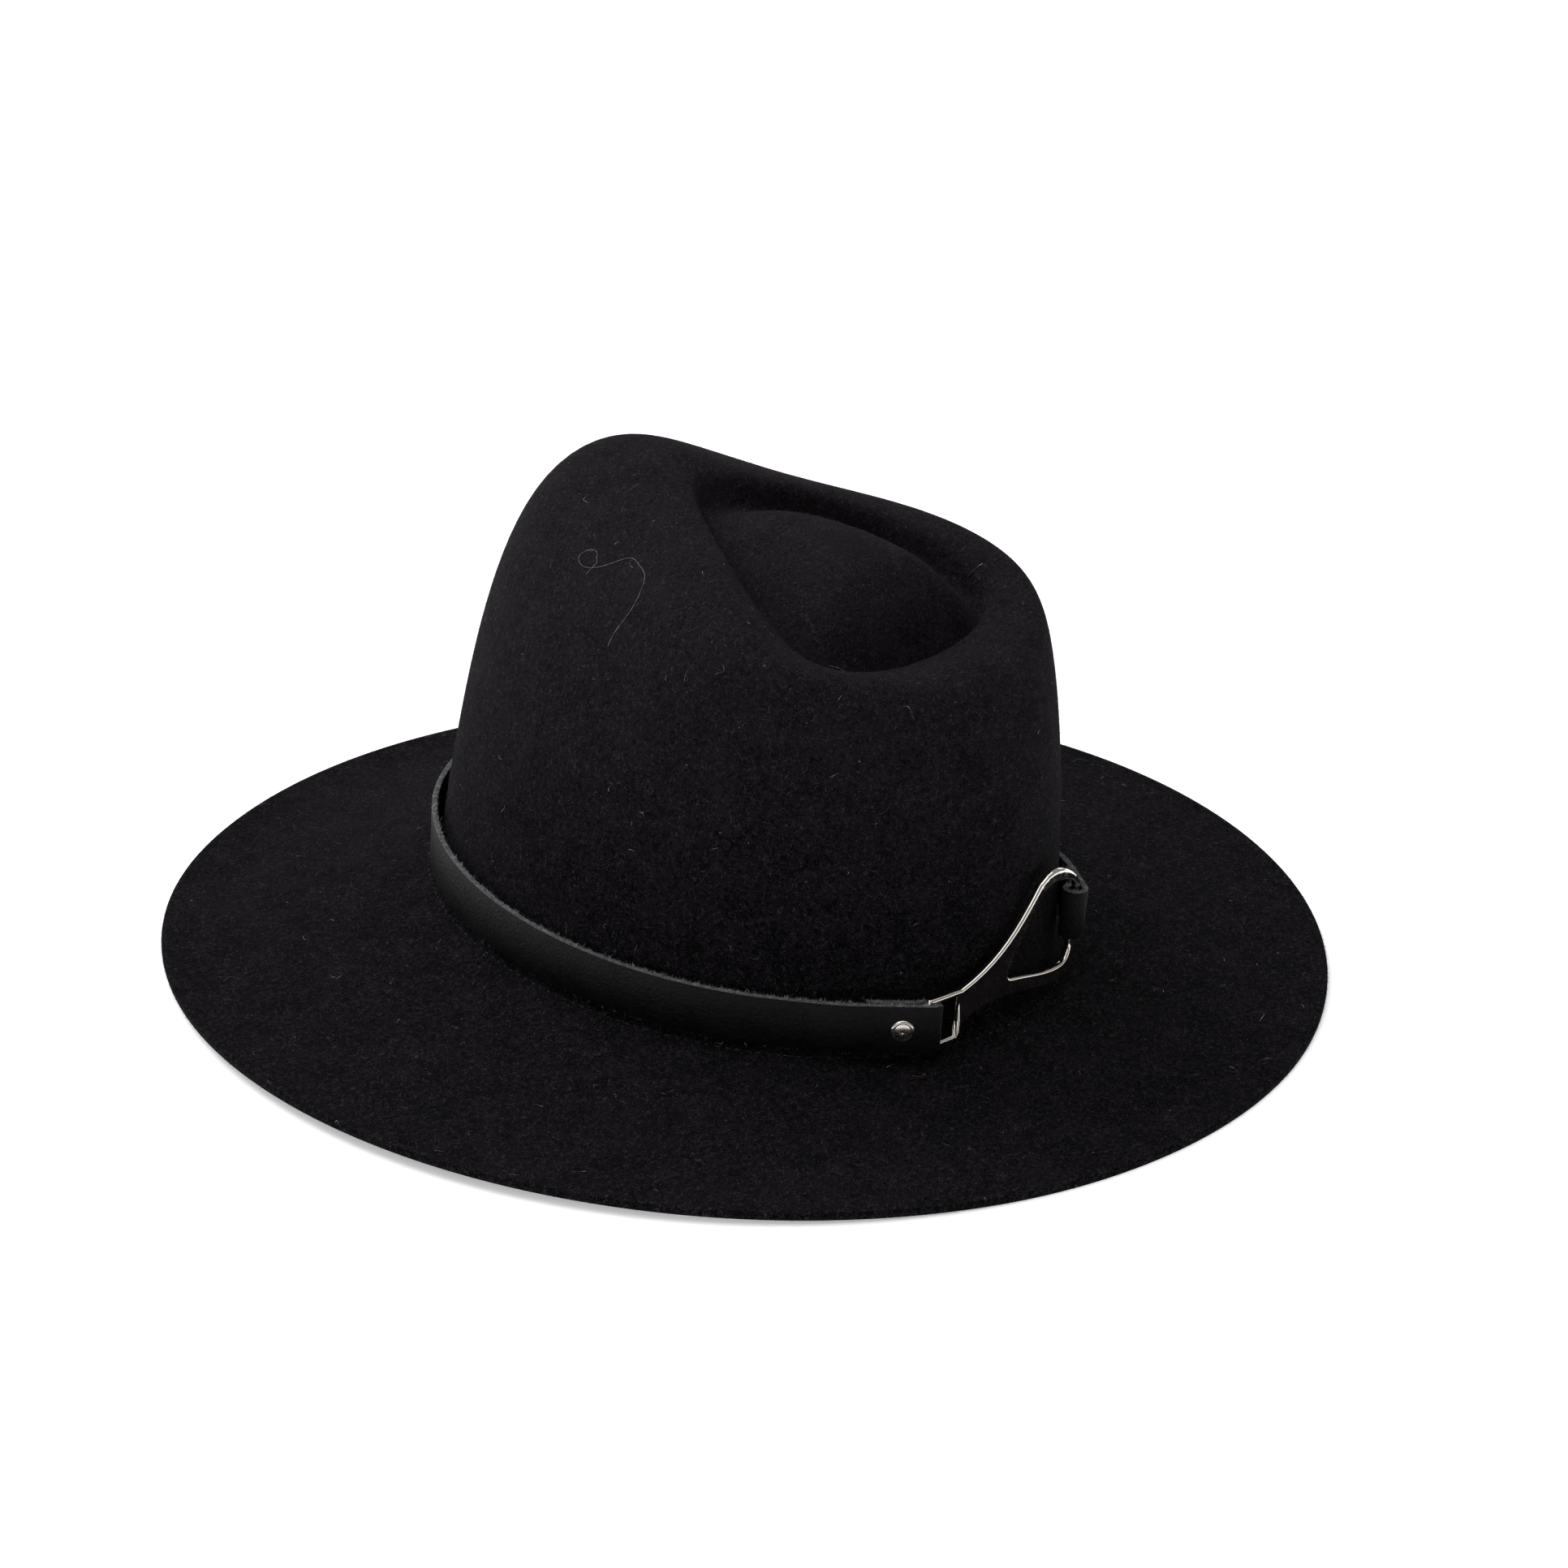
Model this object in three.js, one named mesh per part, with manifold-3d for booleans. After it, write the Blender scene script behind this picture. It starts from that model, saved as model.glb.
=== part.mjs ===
// Wide-brim fedora: a pressed felt body, a leather strap round its crown, and a flat metal hook
// that joins the strap's two folded ends at the back.
//
// Millimetres, +Z up. The origin is on the surface that the hat rests on, under the crown's middle.
// The wearer looks along -Y, and the wearer's left is +X. Angles round the hat start at the front
// and go by the wearer's left, so 90 degrees is the left side and 180 is the back.
import * as THREE from "three";
import Module from "manifold-3d";
import { mergeVertices } from "three/addons/utils/BufferGeometryUtils.js";

const wasm = await Module();
wasm.setup();

// Felt body
const FELT_THICKNESS = 2.2;
const ROOT_HALF_WIDTH = 85.5; // crown's outer oval where it meets the brim
const ROOT_HALF_LENGTH = 104.0;
const ROOT_HEIGHT = 14.7; // that oval's middle, over the resting surface
const LEAN_BACK = THREE.MathUtils.degToRad(3.8); // the brim dips in front, so the crown leans back
const BRIM_HALF_WIDTH = 177.5;
const BRIM_HALF_LENGTH = 184.0;
const RIM_BAND = 6.0; // flat ring along the brim's edge
const BRIM_SIDE_LIFT = 3.6; // the brim's sides lift, so the hat rests on its front and back
const REST_FLAT = 0.4; // part of that lift that is pressed flat on the surface
const BREAK_RADIUS = 5.0; // reach of the bend between brim and crown
const WALL_HEIGHT = 58.0;
const FELT_COLUMNS = 64;

// The crown's block shape, half of it: the other half is its mirror. A row stands every 30 degrees.
// inset_wall, inset_shoulder: how far the wall stands inside the root oval at WALL_HEIGHT and at
// z_shoulder. top: outer side of the pinch's rim. ridge: the rim itself. valley: the groove's bottom.
const CROWN_ROWS = [
  { inset_wall: 4, inset_shoulder: 11, z_shoulder: 134,
    top: [0, -45, 141], ridge: [0, -31, 134], valley: [0, -25, 120] },
  { inset_wall: 5, inset_shoulder: 18, z_shoulder: 126,
    top: [8, -38, 135], ridge: [12, -21, 133], valley: [15, -15, 118] },
  { inset_wall: 5, inset_shoulder: 26, z_shoulder: 113,
    top: [28, -17, 129], ridge: [26, 4, 131], valley: [29, 9, 113] },
  { inset_wall: 4, inset_shoulder: 24, z_shoulder: 106,
    top: [56, 16, 126], ridge: [41, 32, 125], valley: [36, 38, 107] },
  { inset_wall: 3, inset_shoulder: 16, z_shoulder: 103,
    top: [64, 52, 120], ridge: [44, 52, 116], valley: [37, 57, 102] },
  { inset_wall: 2, inset_shoulder: 8, z_shoulder: 103,
    top: [42, 78, 114], ridge: [28, 62, 109], valley: [23, 61, 97] },
  { inset_wall: 2, inset_shoulder: 4, z_shoulder: 103,
    top: [0, 87, 111], ridge: [0, 64, 107], valley: [0, 61, 95] },
];
const RIDGE_FALL = 6.0; // the rim's inner side starts this far below the rim
const RIDGE_LEAD = 0.35; // and this part of the way across to the groove
const ISLAND_CENTRE = [0, 32, 131]; // the raised island inside the groove
const ISLAND_REACH = 0.58; // its flat part, as a share of the way out to the groove
const ISLAND_SLOPE = -0.13; // it falls towards the back
const ISLAND_CROWNING = 1.0;
const ROWS_PER_SPAN = [1, 1, 2, 2, 2, 2, 2, 3, 3, 3, 3, 3, 3, 3];

// Leather strap
const STRAP_THICKNESS = 1.8;
const STRAP_HALF_HEIGHT = 8.0;
const STRAP_MID_HEIGHT = 10.6; // over the root oval
const STRAP_OFFSET = 1.7; // strap's middle line outside the root oval
const STRAP_COLUMNS = 60;
const LAYER_GAP = 0.3;
const FOLD_SEGMENTS = 8;
const FLAP_LENGTH = 19.0; // the end that is turned back behind the strap
const FLAP_CLOSING = 5.4; // length over which it comes against the strap
const TONGUE_LENGTH = 4.0; // the left end narrows over this length to pass through the hook's slot
const BEND_STEPS = 8;
// leave: angle where an end leaves the crown. toward: its heading at the hook, in plan. mid: its
// middle height there. fall: how much it drops per millimetre on the way back. bar, bar_half: the
// hook bar's place along the arc and its half width. half: half height of the folded part.
const LEFT_END = {
  side: 1, leave: 131, toward: 137, mid: 11.9, fall: 0, bar: -37.8, bar_half: 1.2, half: 6.1,
  rivet: 8.2 };
const RIGHT_END = {
  side: -1, leave: 240, toward: 50, mid: 24.6, fall: 0.2, bar: 30.8, bar_half: 1.4, half: 8.0,
  rivet: 14.0 };

// Metal hook: a plate bent along an arc that touches the crown near the back
const HOOK_THICKNESS = 2.4;
const HOOK_TOUCH_ANGLE = 183; // where the arc comes nearest the crown
const HOOK_BEND_RADIUS = 170;
const HOOK_CLEARANCE = 1.9;
const HOOK_CURVE_STEPS = 10;
const SLOT = { left: -36.6, right: -28.2, low: 5.4, high: 18.6 };

// Rivets
const RIVET_CAP_RADIUS = 3.6;
const RIVET_CAP_RISE = 1.1;
const RIVET_POST_RADIUS = 1.4;
const RIVET_BACK_RADIUS = 2.6;
const RIVET_BACK_THICKNESS = 0.5;
const RIVET_SIDES = 20;
const SEAT_GAP = 0.3;

const FELT = new THREE.MeshStandardMaterial({ color: 0x0c0b0e, roughness: 0.95, metalness: 0 });
const LEATHER = new THREE.MeshStandardMaterial({ color: 0x121213, roughness: 0.5, metalness: 0 });
const NICKEL = new THREE.MeshStandardMaterial({ color: 0xcfcac4, roughness: 0.15, metalness: 1 });

const UP = new THREE.Vector3(0, 0, 1);
const radians = THREE.MathUtils.degToRad;

// Weights of a uniform cubic spline at f, from 0 to 1, over four neighbouring values
function splineWeights(f) {
  return [
    (1 - f) ** 3 / 6,
    (3 * f ** 3 - 6 * f ** 2 + 4) / 6,
    (-3 * f ** 3 + 3 * f ** 2 + 3 * f + 1) / 6,
    f ** 3 / 6,
  ];
}

// A column of CROWN_ROWS at any angle: even round the front, or odd where the mirror flips its sign
function aroundCrown(angle, read, odd = false) {
  const half = CROWN_ROWS.map(read);
  const back = half.slice(1, -1).reverse().map((value) => (odd ? -value : value));
  const ring = [...half, ...back];
  const turns = angle / (2 * Math.PI);
  const place = (turns - Math.floor(turns)) * ring.length;
  const first = Math.floor(place);
  const weights = splineWeights(place - first);
  let sum = 0;
  weights.forEach((weight, k) => {
    sum += weight * ring[(first - 1 + k + ring.length) % ring.length];
  });
  return sum;
}

function crownPoint(angle, column) {
  return new THREE.Vector3(
    aroundCrown(angle, (row) => row[column][0], true),
    aroundCrown(angle, (row) => row[column][1]),
    aroundCrown(angle, (row) => row[column][2]),
  );
}

// A point of an oval at an angle round the hat
function ovalPoint(angle, halfWidth, halfLength, z) {
  return new THREE.Vector3(halfWidth * Math.sin(angle), -halfLength * Math.cos(angle), z);
}

// From the crown's own frame, level with the root oval, to the hat's frame
function leanBack(point) {
  const turned = point.clone().applyAxisAngle(new THREE.Vector3(1, 0, 0), -LEAN_BACK);
  turned.z += ROOT_HEIGHT;
  return turned;
}

function rimLift(angle) {
  return Math.max(0, BRIM_SIDE_LIFT * Math.sin(angle) ** 2 - REST_FLAT);
}

// The guide points of the felt's outer side at one angle, from the brim's edge up to the island
function feltGuide(angle) {
  const rimZ = FELT_THICKNESS + rimLift(angle);
  const rim = (inward) => ovalPoint(angle, BRIM_HALF_WIDTH - inward, BRIM_HALF_LENGTH - inward, rimZ);
  const root = (outward, z) =>
    ovalPoint(angle, ROOT_HALF_WIDTH + outward, ROOT_HALF_LENGTH + outward, z);
  const insetWall = aroundCrown(angle, (row) => row.inset_wall);
  const insetShoulder = aroundCrown(angle, (row) => row.inset_shoulder);
  const zShoulder = aroundCrown(angle, (row) => row.z_shoulder);
  const ridge = crownPoint(angle, "ridge");
  const valley = crownPoint(angle, "valley");
  const fall = ridge.clone().lerp(valley, RIDGE_LEAD);
  fall.z = ridge.z - RIDGE_FALL;
  const centre = new THREE.Vector3(...ISLAND_CENTRE);
  const island = centre.clone().lerp(valley, ISLAND_REACH);
  island.z = centre.z - ISLAND_CROWNING + ISLAND_SLOPE * (island.y - centre.y);
  const rootPoint = leanBack(root(0, 0));
  const breakPoint = leanBack(root(BREAK_RADIUS, 0));
  breakPoint.z = THREE.MathUtils.lerp(rootPoint.z, rimZ, 0.15);
  const middle = rim(2 * RIM_BAND).lerp(breakPoint, 0.5);
  middle.z = THREE.MathUtils.lerp(rimZ, breakPoint.z, 0.35);
  return [
    rim(0),
    rim(RIM_BAND),
    rim(2 * RIM_BAND),
    middle,
    breakPoint,
    rootPoint,
    leanBack(root(-0.4, BREAK_RADIUS)),
    leanBack(root(-insetWall, WALL_HEIGHT)),
    leanBack(root(-insetShoulder, zShoulder)),
    leanBack(crownPoint(angle, "top")),
    leanBack(ridge),
    leanBack(fall),
    leanBack(valley),
    leanBack(island),
    leanBack(centre),
  ];
}

// Points along a smooth spline that starts and ends on the guide's end points
function sampleGuide(guide) {
  const last = guide.length - 1;
  const before = guide[0].clone().multiplyScalar(2).sub(guide[1]);
  const after = guide[last].clone().multiplyScalar(2).sub(guide[last - 1]);
  const points = [before, ...guide, after];
  const samples = [];
  const sampleAt = (span, f) => {
    const sum = new THREE.Vector3();
    splineWeights(f).forEach((weight, k) => sum.addScaledVector(points[span + k], weight));
    samples.push(sum);
  };
  ROWS_PER_SPAN.forEach((count, span) => {
    for (let step = 0; step < count; step += 1) {
      sampleAt(span, step / count);
    }
  });
  sampleAt(last - 1, 1);
  return samples;
}

// Outward directions of a grid of points whose rows close round the hat
function gridNormals(grid) {
  const columns = grid[0].length;
  return grid.map((row, i) => row.map((_, j) => {
    const up = grid[Math.min(i + 1, grid.length - 1)][j];
    const down = grid[Math.max(i - 1, 0)][j];
    const next = row[(j + 1) % columns];
    const previous = row[(j - 1 + columns) % columns];
    const around = next.clone().sub(previous);
    return around.cross(up.clone().sub(down)).normalize();
  }));
}

function geometryFrom(vertices, triangles) {
  const geometry = new THREE.BufferGeometry();
  const flat = vertices.flatMap((vertex) => [vertex.x, vertex.y, vertex.z]);
  geometry.setAttribute("position", new THREE.Float32BufferAttribute(flat, 3));
  geometry.setIndex(triangles.flat());
  return geometry;
}

// One felt wall: the outer side, the inner side a felt's thickness under it, and the cut brim edge
function feltGeometry() {
  const profiles = [];
  for (let j = 0; j < FELT_COLUMNS; j += 1) {
    profiles.push(sampleGuide(feltGuide((2 * Math.PI * j) / FELT_COLUMNS)));
  }
  const rowCount = profiles[0].length;
  const outer = [];
  for (let i = 0; i < rowCount - 1; i += 1) {
    outer.push(profiles.map((profile) => profile[i]));
  }
  const pole = profiles[0][rowCount - 1];
  const normals = gridNormals(outer);
  const inner = outer.map((row, i) => row.map((point, j) => {
    const down = i === 0 ? new THREE.Vector3(0, 0, 1) : normals[i][j];
    return point.clone().addScaledVector(down, -FELT_THICKNESS);
  }));
  const innerPole = pole.clone();
  innerPole.z -= FELT_THICKNESS;
  const vertices = [...outer.flat(), ...inner.flat(), pole, innerPole];
  const innerStart = outer.length * FELT_COLUMNS;
  const poleIndex = 2 * innerStart;
  const triangles = [];
  for (let j = 0; j < FELT_COLUMNS; j += 1) {
    const k = (j + 1) % FELT_COLUMNS;
    for (let i = 0; i < outer.length - 1; i += 1) {
      const a = i * FELT_COLUMNS + j;
      const b = i * FELT_COLUMNS + k;
      const c = a + FELT_COLUMNS;
      const d = b + FELT_COLUMNS;
      triangles.push([a, b, d], [a, d, c]);
      triangles.push([innerStart + a, innerStart + d, innerStart + b]);
      triangles.push([innerStart + a, innerStart + c, innerStart + d]);
    }
    const top = innerStart - FELT_COLUMNS;
    triangles.push([top + j, top + k, poleIndex]);
    triangles.push([innerStart + top + k, innerStart + top + j, poleIndex + 1]);
    triangles.push([innerStart + j, innerStart + k, k], [innerStart + j, k, j]);
  }
  return geometryFrom(vertices, triangles);
}

// The hook's arc in plan: the point and the outward direction at a length along it
function hookArc(along) {
  const angle = radians(HOOK_TOUCH_ANGLE);
  const touch = ovalPoint(angle, ROOT_HALF_WIDTH, ROOT_HALF_LENGTH, 0);
  const outward = new THREE.Vector3(
    Math.sin(angle) / ROOT_HALF_WIDTH, -Math.cos(angle) / ROOT_HALF_LENGTH, 0).normalize();
  const centre = touch.addScaledVector(outward, HOOK_CLEARANCE - HOOK_BEND_RADIUS);
  const normal = outward.applyAxisAngle(UP, along / HOOK_BEND_RADIUS);
  return { normal, point: centre.addScaledVector(normal, HOOK_BEND_RADIUS) };
}

// The hook's outline, laid flat: x along the arc, y its height over the root oval
function hookShape() {
  const outline = new THREE.Shape();
  outline.moveTo(-39.0, 3.6);
  outline.lineTo(-28.5, 3.6);
  outline.quadraticCurveTo(-25.5, 3.8, -25.2, 8.2);
  outline.bezierCurveTo(-19, 12.6, -9, 12.4, 2, 9.4);
  outline.bezierCurveTo(11, 7.0, 18, 4.4, 24, 4.2);
  outline.bezierCurveTo(29.5, 4.1, 32.2, 8.5, 32.2, 15.0);
  outline.lineTo(32.2, 33.0);
  outline.bezierCurveTo(32.2, 37.0, 17.0, 49.5, 7.0, 43.6);
  outline.bezierCurveTo(-2.5, 33.5, -10.0, 25.6, -26.4, 20.4);
  outline.quadraticCurveTo(-27.2, 20.5, -28.5, 20.5);
  outline.lineTo(-39.0, 20.5);
  outline.closePath();

  const slot = new THREE.Path();
  slot.moveTo(SLOT.left, SLOT.low);
  slot.lineTo(SLOT.left, SLOT.high);
  slot.lineTo(SLOT.right, SLOT.high);
  slot.lineTo(SLOT.right, SLOT.low);
  slot.closePath();

  const opening = new THREE.Path();
  opening.moveTo(-6.4, 18.4);
  opening.bezierCurveTo(-5.5, 25.0, 3.0, 33.5, 9.4, 39.8);
  opening.bezierCurveTo(15.0, 43.4, 29.3, 37.5, 29.4, 33.0);
  opening.lineTo(29.4, 16.0);
  opening.bezierCurveTo(29.4, 11.8, 27.5, 9.4, 23.5, 9.5);
  opening.bezierCurveTo(16.0, 9.8, 5.0, 14.4, -4.4, 16.4);
  opening.quadraticCurveTo(-6.4, 17.0, -6.4, 18.4);
  outline.holes = [slot, opening];
  return outline;
}

// Bends the flat plate along the hook's arc
function hookGeometry() {
  const geometry = new THREE.ExtrudeGeometry(hookShape(), {
    depth: HOOK_THICKNESS, bevelEnabled: false, curveSegments: HOOK_CURVE_STEPS });
  const position = geometry.attributes.position;
  for (let i = 0; i < position.count; i += 1) {
    const { point, normal } = hookArc(position.getX(i));
    const place = point.addScaledVector(normal, position.getZ(i) - HOOK_THICKNESS / 2);
    position.setXYZ(i, place.x, place.y, position.getY(i));
  }
  return mergedPositions(geometry);
}

// Keeps only the shared corner points, so that the surface is closed
function mergedPositions(geometry) {
  geometry.deleteAttribute("normal");
  geometry.deleteAttribute("uv");
  return mergeVertices(geometry, 1e-4);
}

// One end of the strap where it is folded round a bar of the hook
function foldedEnd(end) {
  const { point: bar } = hookArc(end.bar);
  bar.z = end.mid;
  const heading = radians(end.toward);
  const ahead = new THREE.Vector3(Math.cos(heading), Math.sin(heading), 0);
  const inward = new THREE.Vector3(-ahead.y, ahead.x, 0).multiplyScalar(end.side);
  const radius = Math.hypot(end.bar_half, HOOK_THICKNESS / 2) + LAYER_GAP + STRAP_THICKNESS / 2;
  const place = (x, y) => bar.clone()
    .addScaledVector(ahead, x)
    .addScaledVector(inward, y)
    .addScaledVector(UP, end.fall * Math.min(0, x));
  return { ...end, ahead, inward, radius, place };
}

// The middle line of one end, from the crown to the tip of the turned-back flap, as stations.
// Each has its place and its half height.
function endStations(end) {
  const start = strapPoint(radians(end.leave));
  const leaving = strapPoint(radians(end.leave + end.side)).sub(start).normalize();
  const straight = FLAP_LENGTH + 1;
  const join = end.place(-straight, -end.radius);
  const reach = start.distanceTo(join) / 3;
  const bend = new THREE.CubicBezierCurve3(
    start,
    start.clone().addScaledVector(leaving, reach),
    end.place(-straight - reach, -end.radius),
    join,
  );
  const stations = [];
  for (let k = 0; k < BEND_STEPS; k += 1) {
    stations.push({ place: bend.getPoint(k / BEND_STEPS), half: STRAP_HALF_HEIGHT });
  }
  const push = (x, y, half = STRAP_HALF_HEIGHT) => stations.push({ place: end.place(x, y), half });
  push(-straight, -end.radius);
  push(-end.rivet, -end.radius);
  push(-TONGUE_LENGTH, -end.radius);
  for (let k = 0; k <= FOLD_SEGMENTS; k += 1) {
    const turn = Math.PI * (k / FOLD_SEGMENTS - 0.5);
    push(end.radius * Math.cos(turn), end.radius * Math.sin(turn), end.half);
  }
  const closed = -end.radius + STRAP_THICKNESS + LAYER_GAP;
  [0.25, 0.5, 0.75, 1].forEach((share) => {
    const eased = THREE.MathUtils.smoothstep(share, 0, 1);
    push(-FLAP_CLOSING * share, THREE.MathUtils.lerp(end.radius, closed, eased),
      THREE.MathUtils.lerp(end.half, STRAP_HALF_HEIGHT, share));
  });
  push(-FLAP_LENGTH, closed);
  return stations;
}

// A point of the strap's middle line where it lies against the crown
function strapPoint(angle) {
  return ovalPoint(
    angle, ROOT_HALF_WIDTH + STRAP_OFFSET, ROOT_HALF_LENGTH + STRAP_OFFSET, STRAP_MID_HEIGHT);
}

// A closed ribbon of leather along its stations
function ribbonGeometry(stations) {
  const corners = stations.map((station, i) => {
    const next = stations[Math.min(i + 1, stations.length - 1)].place;
    const previous = stations[Math.max(i - 1, 0)].place;
    const run = next.clone().sub(previous);
    const out = run.cross(UP).normalize();
    const corner = (side, end) => station.place.clone()
      .addScaledVector(out, (side * STRAP_THICKNESS) / 2)
      .addScaledVector(UP, end * station.half);
    return [corner(1, -1), corner(1, 1), corner(-1, 1), corner(-1, -1)];
  });
  const triangles = [];
  for (let i = 0; i < corners.length - 1; i += 1) {
    for (let c = 0; c < 4; c += 1) {
      const a = 4 * i + c;
      const b = 4 * i + ((c + 1) % 4);
      triangles.push([a, a + 4, b + 4], [a, b + 4, b]);
    }
  }
  const last = 4 * (corners.length - 1);
  triangles.push([0, 1, 2], [0, 2, 3]);
  triangles.push([last, last + 2, last + 1], [last, last + 3, last + 2]);
  return geometryFrom(corners.flat(), triangles);
}

function toManifold(geometry) {
  const merged = mergedPositions(geometry.clone());
  const mesh = new wasm.Mesh({
    numProp: 3,
    vertProperties: new Float32Array(merged.attributes.position.array),
    triVerts: new Uint32Array(merged.index.array),
  });
  return new wasm.Manifold(mesh);
}

function fromManifold(solid) {
  const mesh = solid.getMesh();
  const geometry = new THREE.BufferGeometry();
  const position = new THREE.Float32BufferAttribute(mesh.vertProperties, 3);
  geometry.setAttribute("position", position);
  geometry.setIndex(new THREE.BufferAttribute(new Uint32Array(mesh.triVerts), 1));
  return geometry;
}

// A turned profile of [radius, height] points, its axis along the rivet's own direction
function turned(profile, sides) {
  const points = profile.map(([radius, height]) => new THREE.Vector2(radius, height));
  return mergedPositions(new THREE.LatheGeometry(points, sides));
}

// Domed cap outside, post through both layers, and a thin head behind
function rivetGeometry() {
  const inner = STRAP_THICKNESS * 1.5 + LAYER_GAP + SEAT_GAP;
  const face = STRAP_THICKNESS / 2 + SEAT_GAP;
  return turned([
    [0, -inner - RIVET_BACK_THICKNESS],
    [RIVET_BACK_RADIUS, -inner - RIVET_BACK_THICKNESS],
    [RIVET_BACK_RADIUS, -inner],
    [RIVET_POST_RADIUS, -inner],
    [RIVET_POST_RADIUS, face],
    [RIVET_CAP_RADIUS, face],
    [RIVET_CAP_RADIUS, face + RIVET_CAP_RISE * 0.35],
    [RIVET_CAP_RADIUS * 0.86, face + RIVET_CAP_RISE * 0.8],
    [RIVET_CAP_RADIUS * 0.5, face + RIVET_CAP_RISE],
    [0, face + RIVET_CAP_RISE],
  ], RIVET_SIDES);
}

// Turns and places a piece made along +Y so that it goes through one strap end
function placeThroughEnd(mesh, end) {
  const outward = end.inward.clone().multiplyScalar(-1);
  mesh.quaternion.setFromUnitVectors(new THREE.Vector3(0, 1, 0), outward);
  mesh.position.copy(end.place(-end.rivet, -end.radius));
  mesh.updateMatrix();
}

function namedMesh(name, geometry, material) {
  const mesh = new THREE.Mesh(geometry, material);
  mesh.name = name;
  return mesh;
}

const leftEnd = foldedEnd(LEFT_END);
const rightEnd = foldedEnd(RIGHT_END);

const leftRivet = namedMesh("rivet_left", rivetGeometry(), NICKEL);
const rightRivet = namedMesh("rivet_right", rivetGeometry(), NICKEL);
placeThroughEnd(leftRivet, leftEnd);
placeThroughEnd(rightRivet, rightEnd);

// The strap: one end, round the front of the crown, the other end, with the rivets' holes cut through
function strapGeometry() {
  const front = [];
  const from = radians(LEFT_END.leave);
  const to = radians(RIGHT_END.leave - 360);
  for (let k = 1; k < STRAP_COLUMNS; k += 1) {
    const angle = THREE.MathUtils.lerp(from, to, k / STRAP_COLUMNS);
    front.push({ place: strapPoint(angle), half: STRAP_HALF_HEIGHT });
  }
  const stations = [...endStations(leftEnd).reverse(), ...front, ...endStations(rightEnd)];
  let solid = toManifold(ribbonGeometry(stations));
  [leftRivet, rightRivet].forEach((rivet) => {
    const hole = new THREE.CylinderGeometry(
      RIVET_POST_RADIUS + SEAT_GAP, RIVET_POST_RADIUS + SEAT_GAP, 14, RIVET_SIDES);
    hole.applyMatrix4(rivet.matrix);
    solid = solid.subtract(toManifold(hole));
  });
  return fromManifold(solid);
}

const hat = new THREE.Group();
hat.add(namedMesh("felt_body", feltGeometry(), FELT));

const crownFrame = new THREE.Group();
crownFrame.rotation.x = -LEAN_BACK;
crownFrame.position.z = ROOT_HEIGHT;
crownFrame.add(namedMesh("leather_strap", strapGeometry(), LEATHER));
crownFrame.add(namedMesh("hook_plate", hookGeometry(), NICKEL));
crownFrame.add(leftRivet, rightRivet);
hat.add(crownFrame);

export default hat;
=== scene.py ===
"""Looks of a wide-brim black felt hat with a leather strap and a polished hook, on a pale floor."""

import logging
import math
from dataclasses import dataclass
from enum import Enum

import bmesh
import bpy
import numpy as np
from mathutils import Matrix, Vector
from mathutils.bvhtree import BVHTree


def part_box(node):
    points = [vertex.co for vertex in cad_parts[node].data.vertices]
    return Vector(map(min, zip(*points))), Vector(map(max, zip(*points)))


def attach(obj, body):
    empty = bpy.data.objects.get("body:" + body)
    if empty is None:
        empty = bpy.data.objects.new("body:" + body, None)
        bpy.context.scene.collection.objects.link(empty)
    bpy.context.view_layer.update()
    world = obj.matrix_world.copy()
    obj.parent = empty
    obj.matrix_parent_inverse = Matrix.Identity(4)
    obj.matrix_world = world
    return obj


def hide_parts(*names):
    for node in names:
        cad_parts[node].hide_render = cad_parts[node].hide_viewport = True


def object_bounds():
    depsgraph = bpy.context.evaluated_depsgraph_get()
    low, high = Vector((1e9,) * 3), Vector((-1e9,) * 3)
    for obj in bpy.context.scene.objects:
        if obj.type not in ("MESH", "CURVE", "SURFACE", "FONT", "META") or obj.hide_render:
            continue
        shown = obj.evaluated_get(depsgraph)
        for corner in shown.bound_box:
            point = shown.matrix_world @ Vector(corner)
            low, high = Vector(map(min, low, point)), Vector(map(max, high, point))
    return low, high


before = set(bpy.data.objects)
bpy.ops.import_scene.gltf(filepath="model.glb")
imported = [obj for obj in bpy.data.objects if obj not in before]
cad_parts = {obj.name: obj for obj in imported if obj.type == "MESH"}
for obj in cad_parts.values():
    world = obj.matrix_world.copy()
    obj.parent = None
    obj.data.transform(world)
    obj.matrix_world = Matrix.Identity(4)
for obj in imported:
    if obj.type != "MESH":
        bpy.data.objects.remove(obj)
CAD_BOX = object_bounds()
LOG = logging.getLogger("hat")

MM = 0.001
UP = Vector((0.0, 0.0, 1.0))
LEAN_BACK = math.radians(3.8)
ROOT_HEIGHT = 14.7 * MM
ROOT_HALF_WIDTH = 85.5 * MM
ROOT_HALF_LENGTH = 104.0 * MM
# From the crown's own frame, where its root oval lies level at z = 0, to the hat's frame
CROWN = Matrix.Translation((0.0, 0.0, ROOT_HEIGHT)) @ Matrix.Rotation(-LEAN_BACK, 4, "X")
# No fibre goes lower than this over the floor
LEAST_HEIGHT = 0.1 * MM


class Slot(Enum):
    """The record's material slots."""

    FELT = "felt"
    LEATHER = "leather"
    NICKEL = "nickel"


class Side(Enum):
    """Which face of the felt a patch of the shell belongs to, as its material's index."""

    OUTER = 0
    INNER = 1


def linear(hex_colour: str) -> tuple[float, float, float, float]:
    """Turns an sRGB hex colour into linear RGBA.

    Args:
        hex_colour: six hex digits, such as "1a2b3c".

    Returns:
        Red, green, blue and alpha, linear.
    """
    channels = [int(hex_colour[k : k + 2], 16) / 255 for k in (0, 2, 4)]
    low = [c / 12.92 if c <= 0.04045 else ((c + 0.055) / 1.055) ** 2.4 for c in channels]
    return (low[0], low[1], low[2], 1.0)


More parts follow.
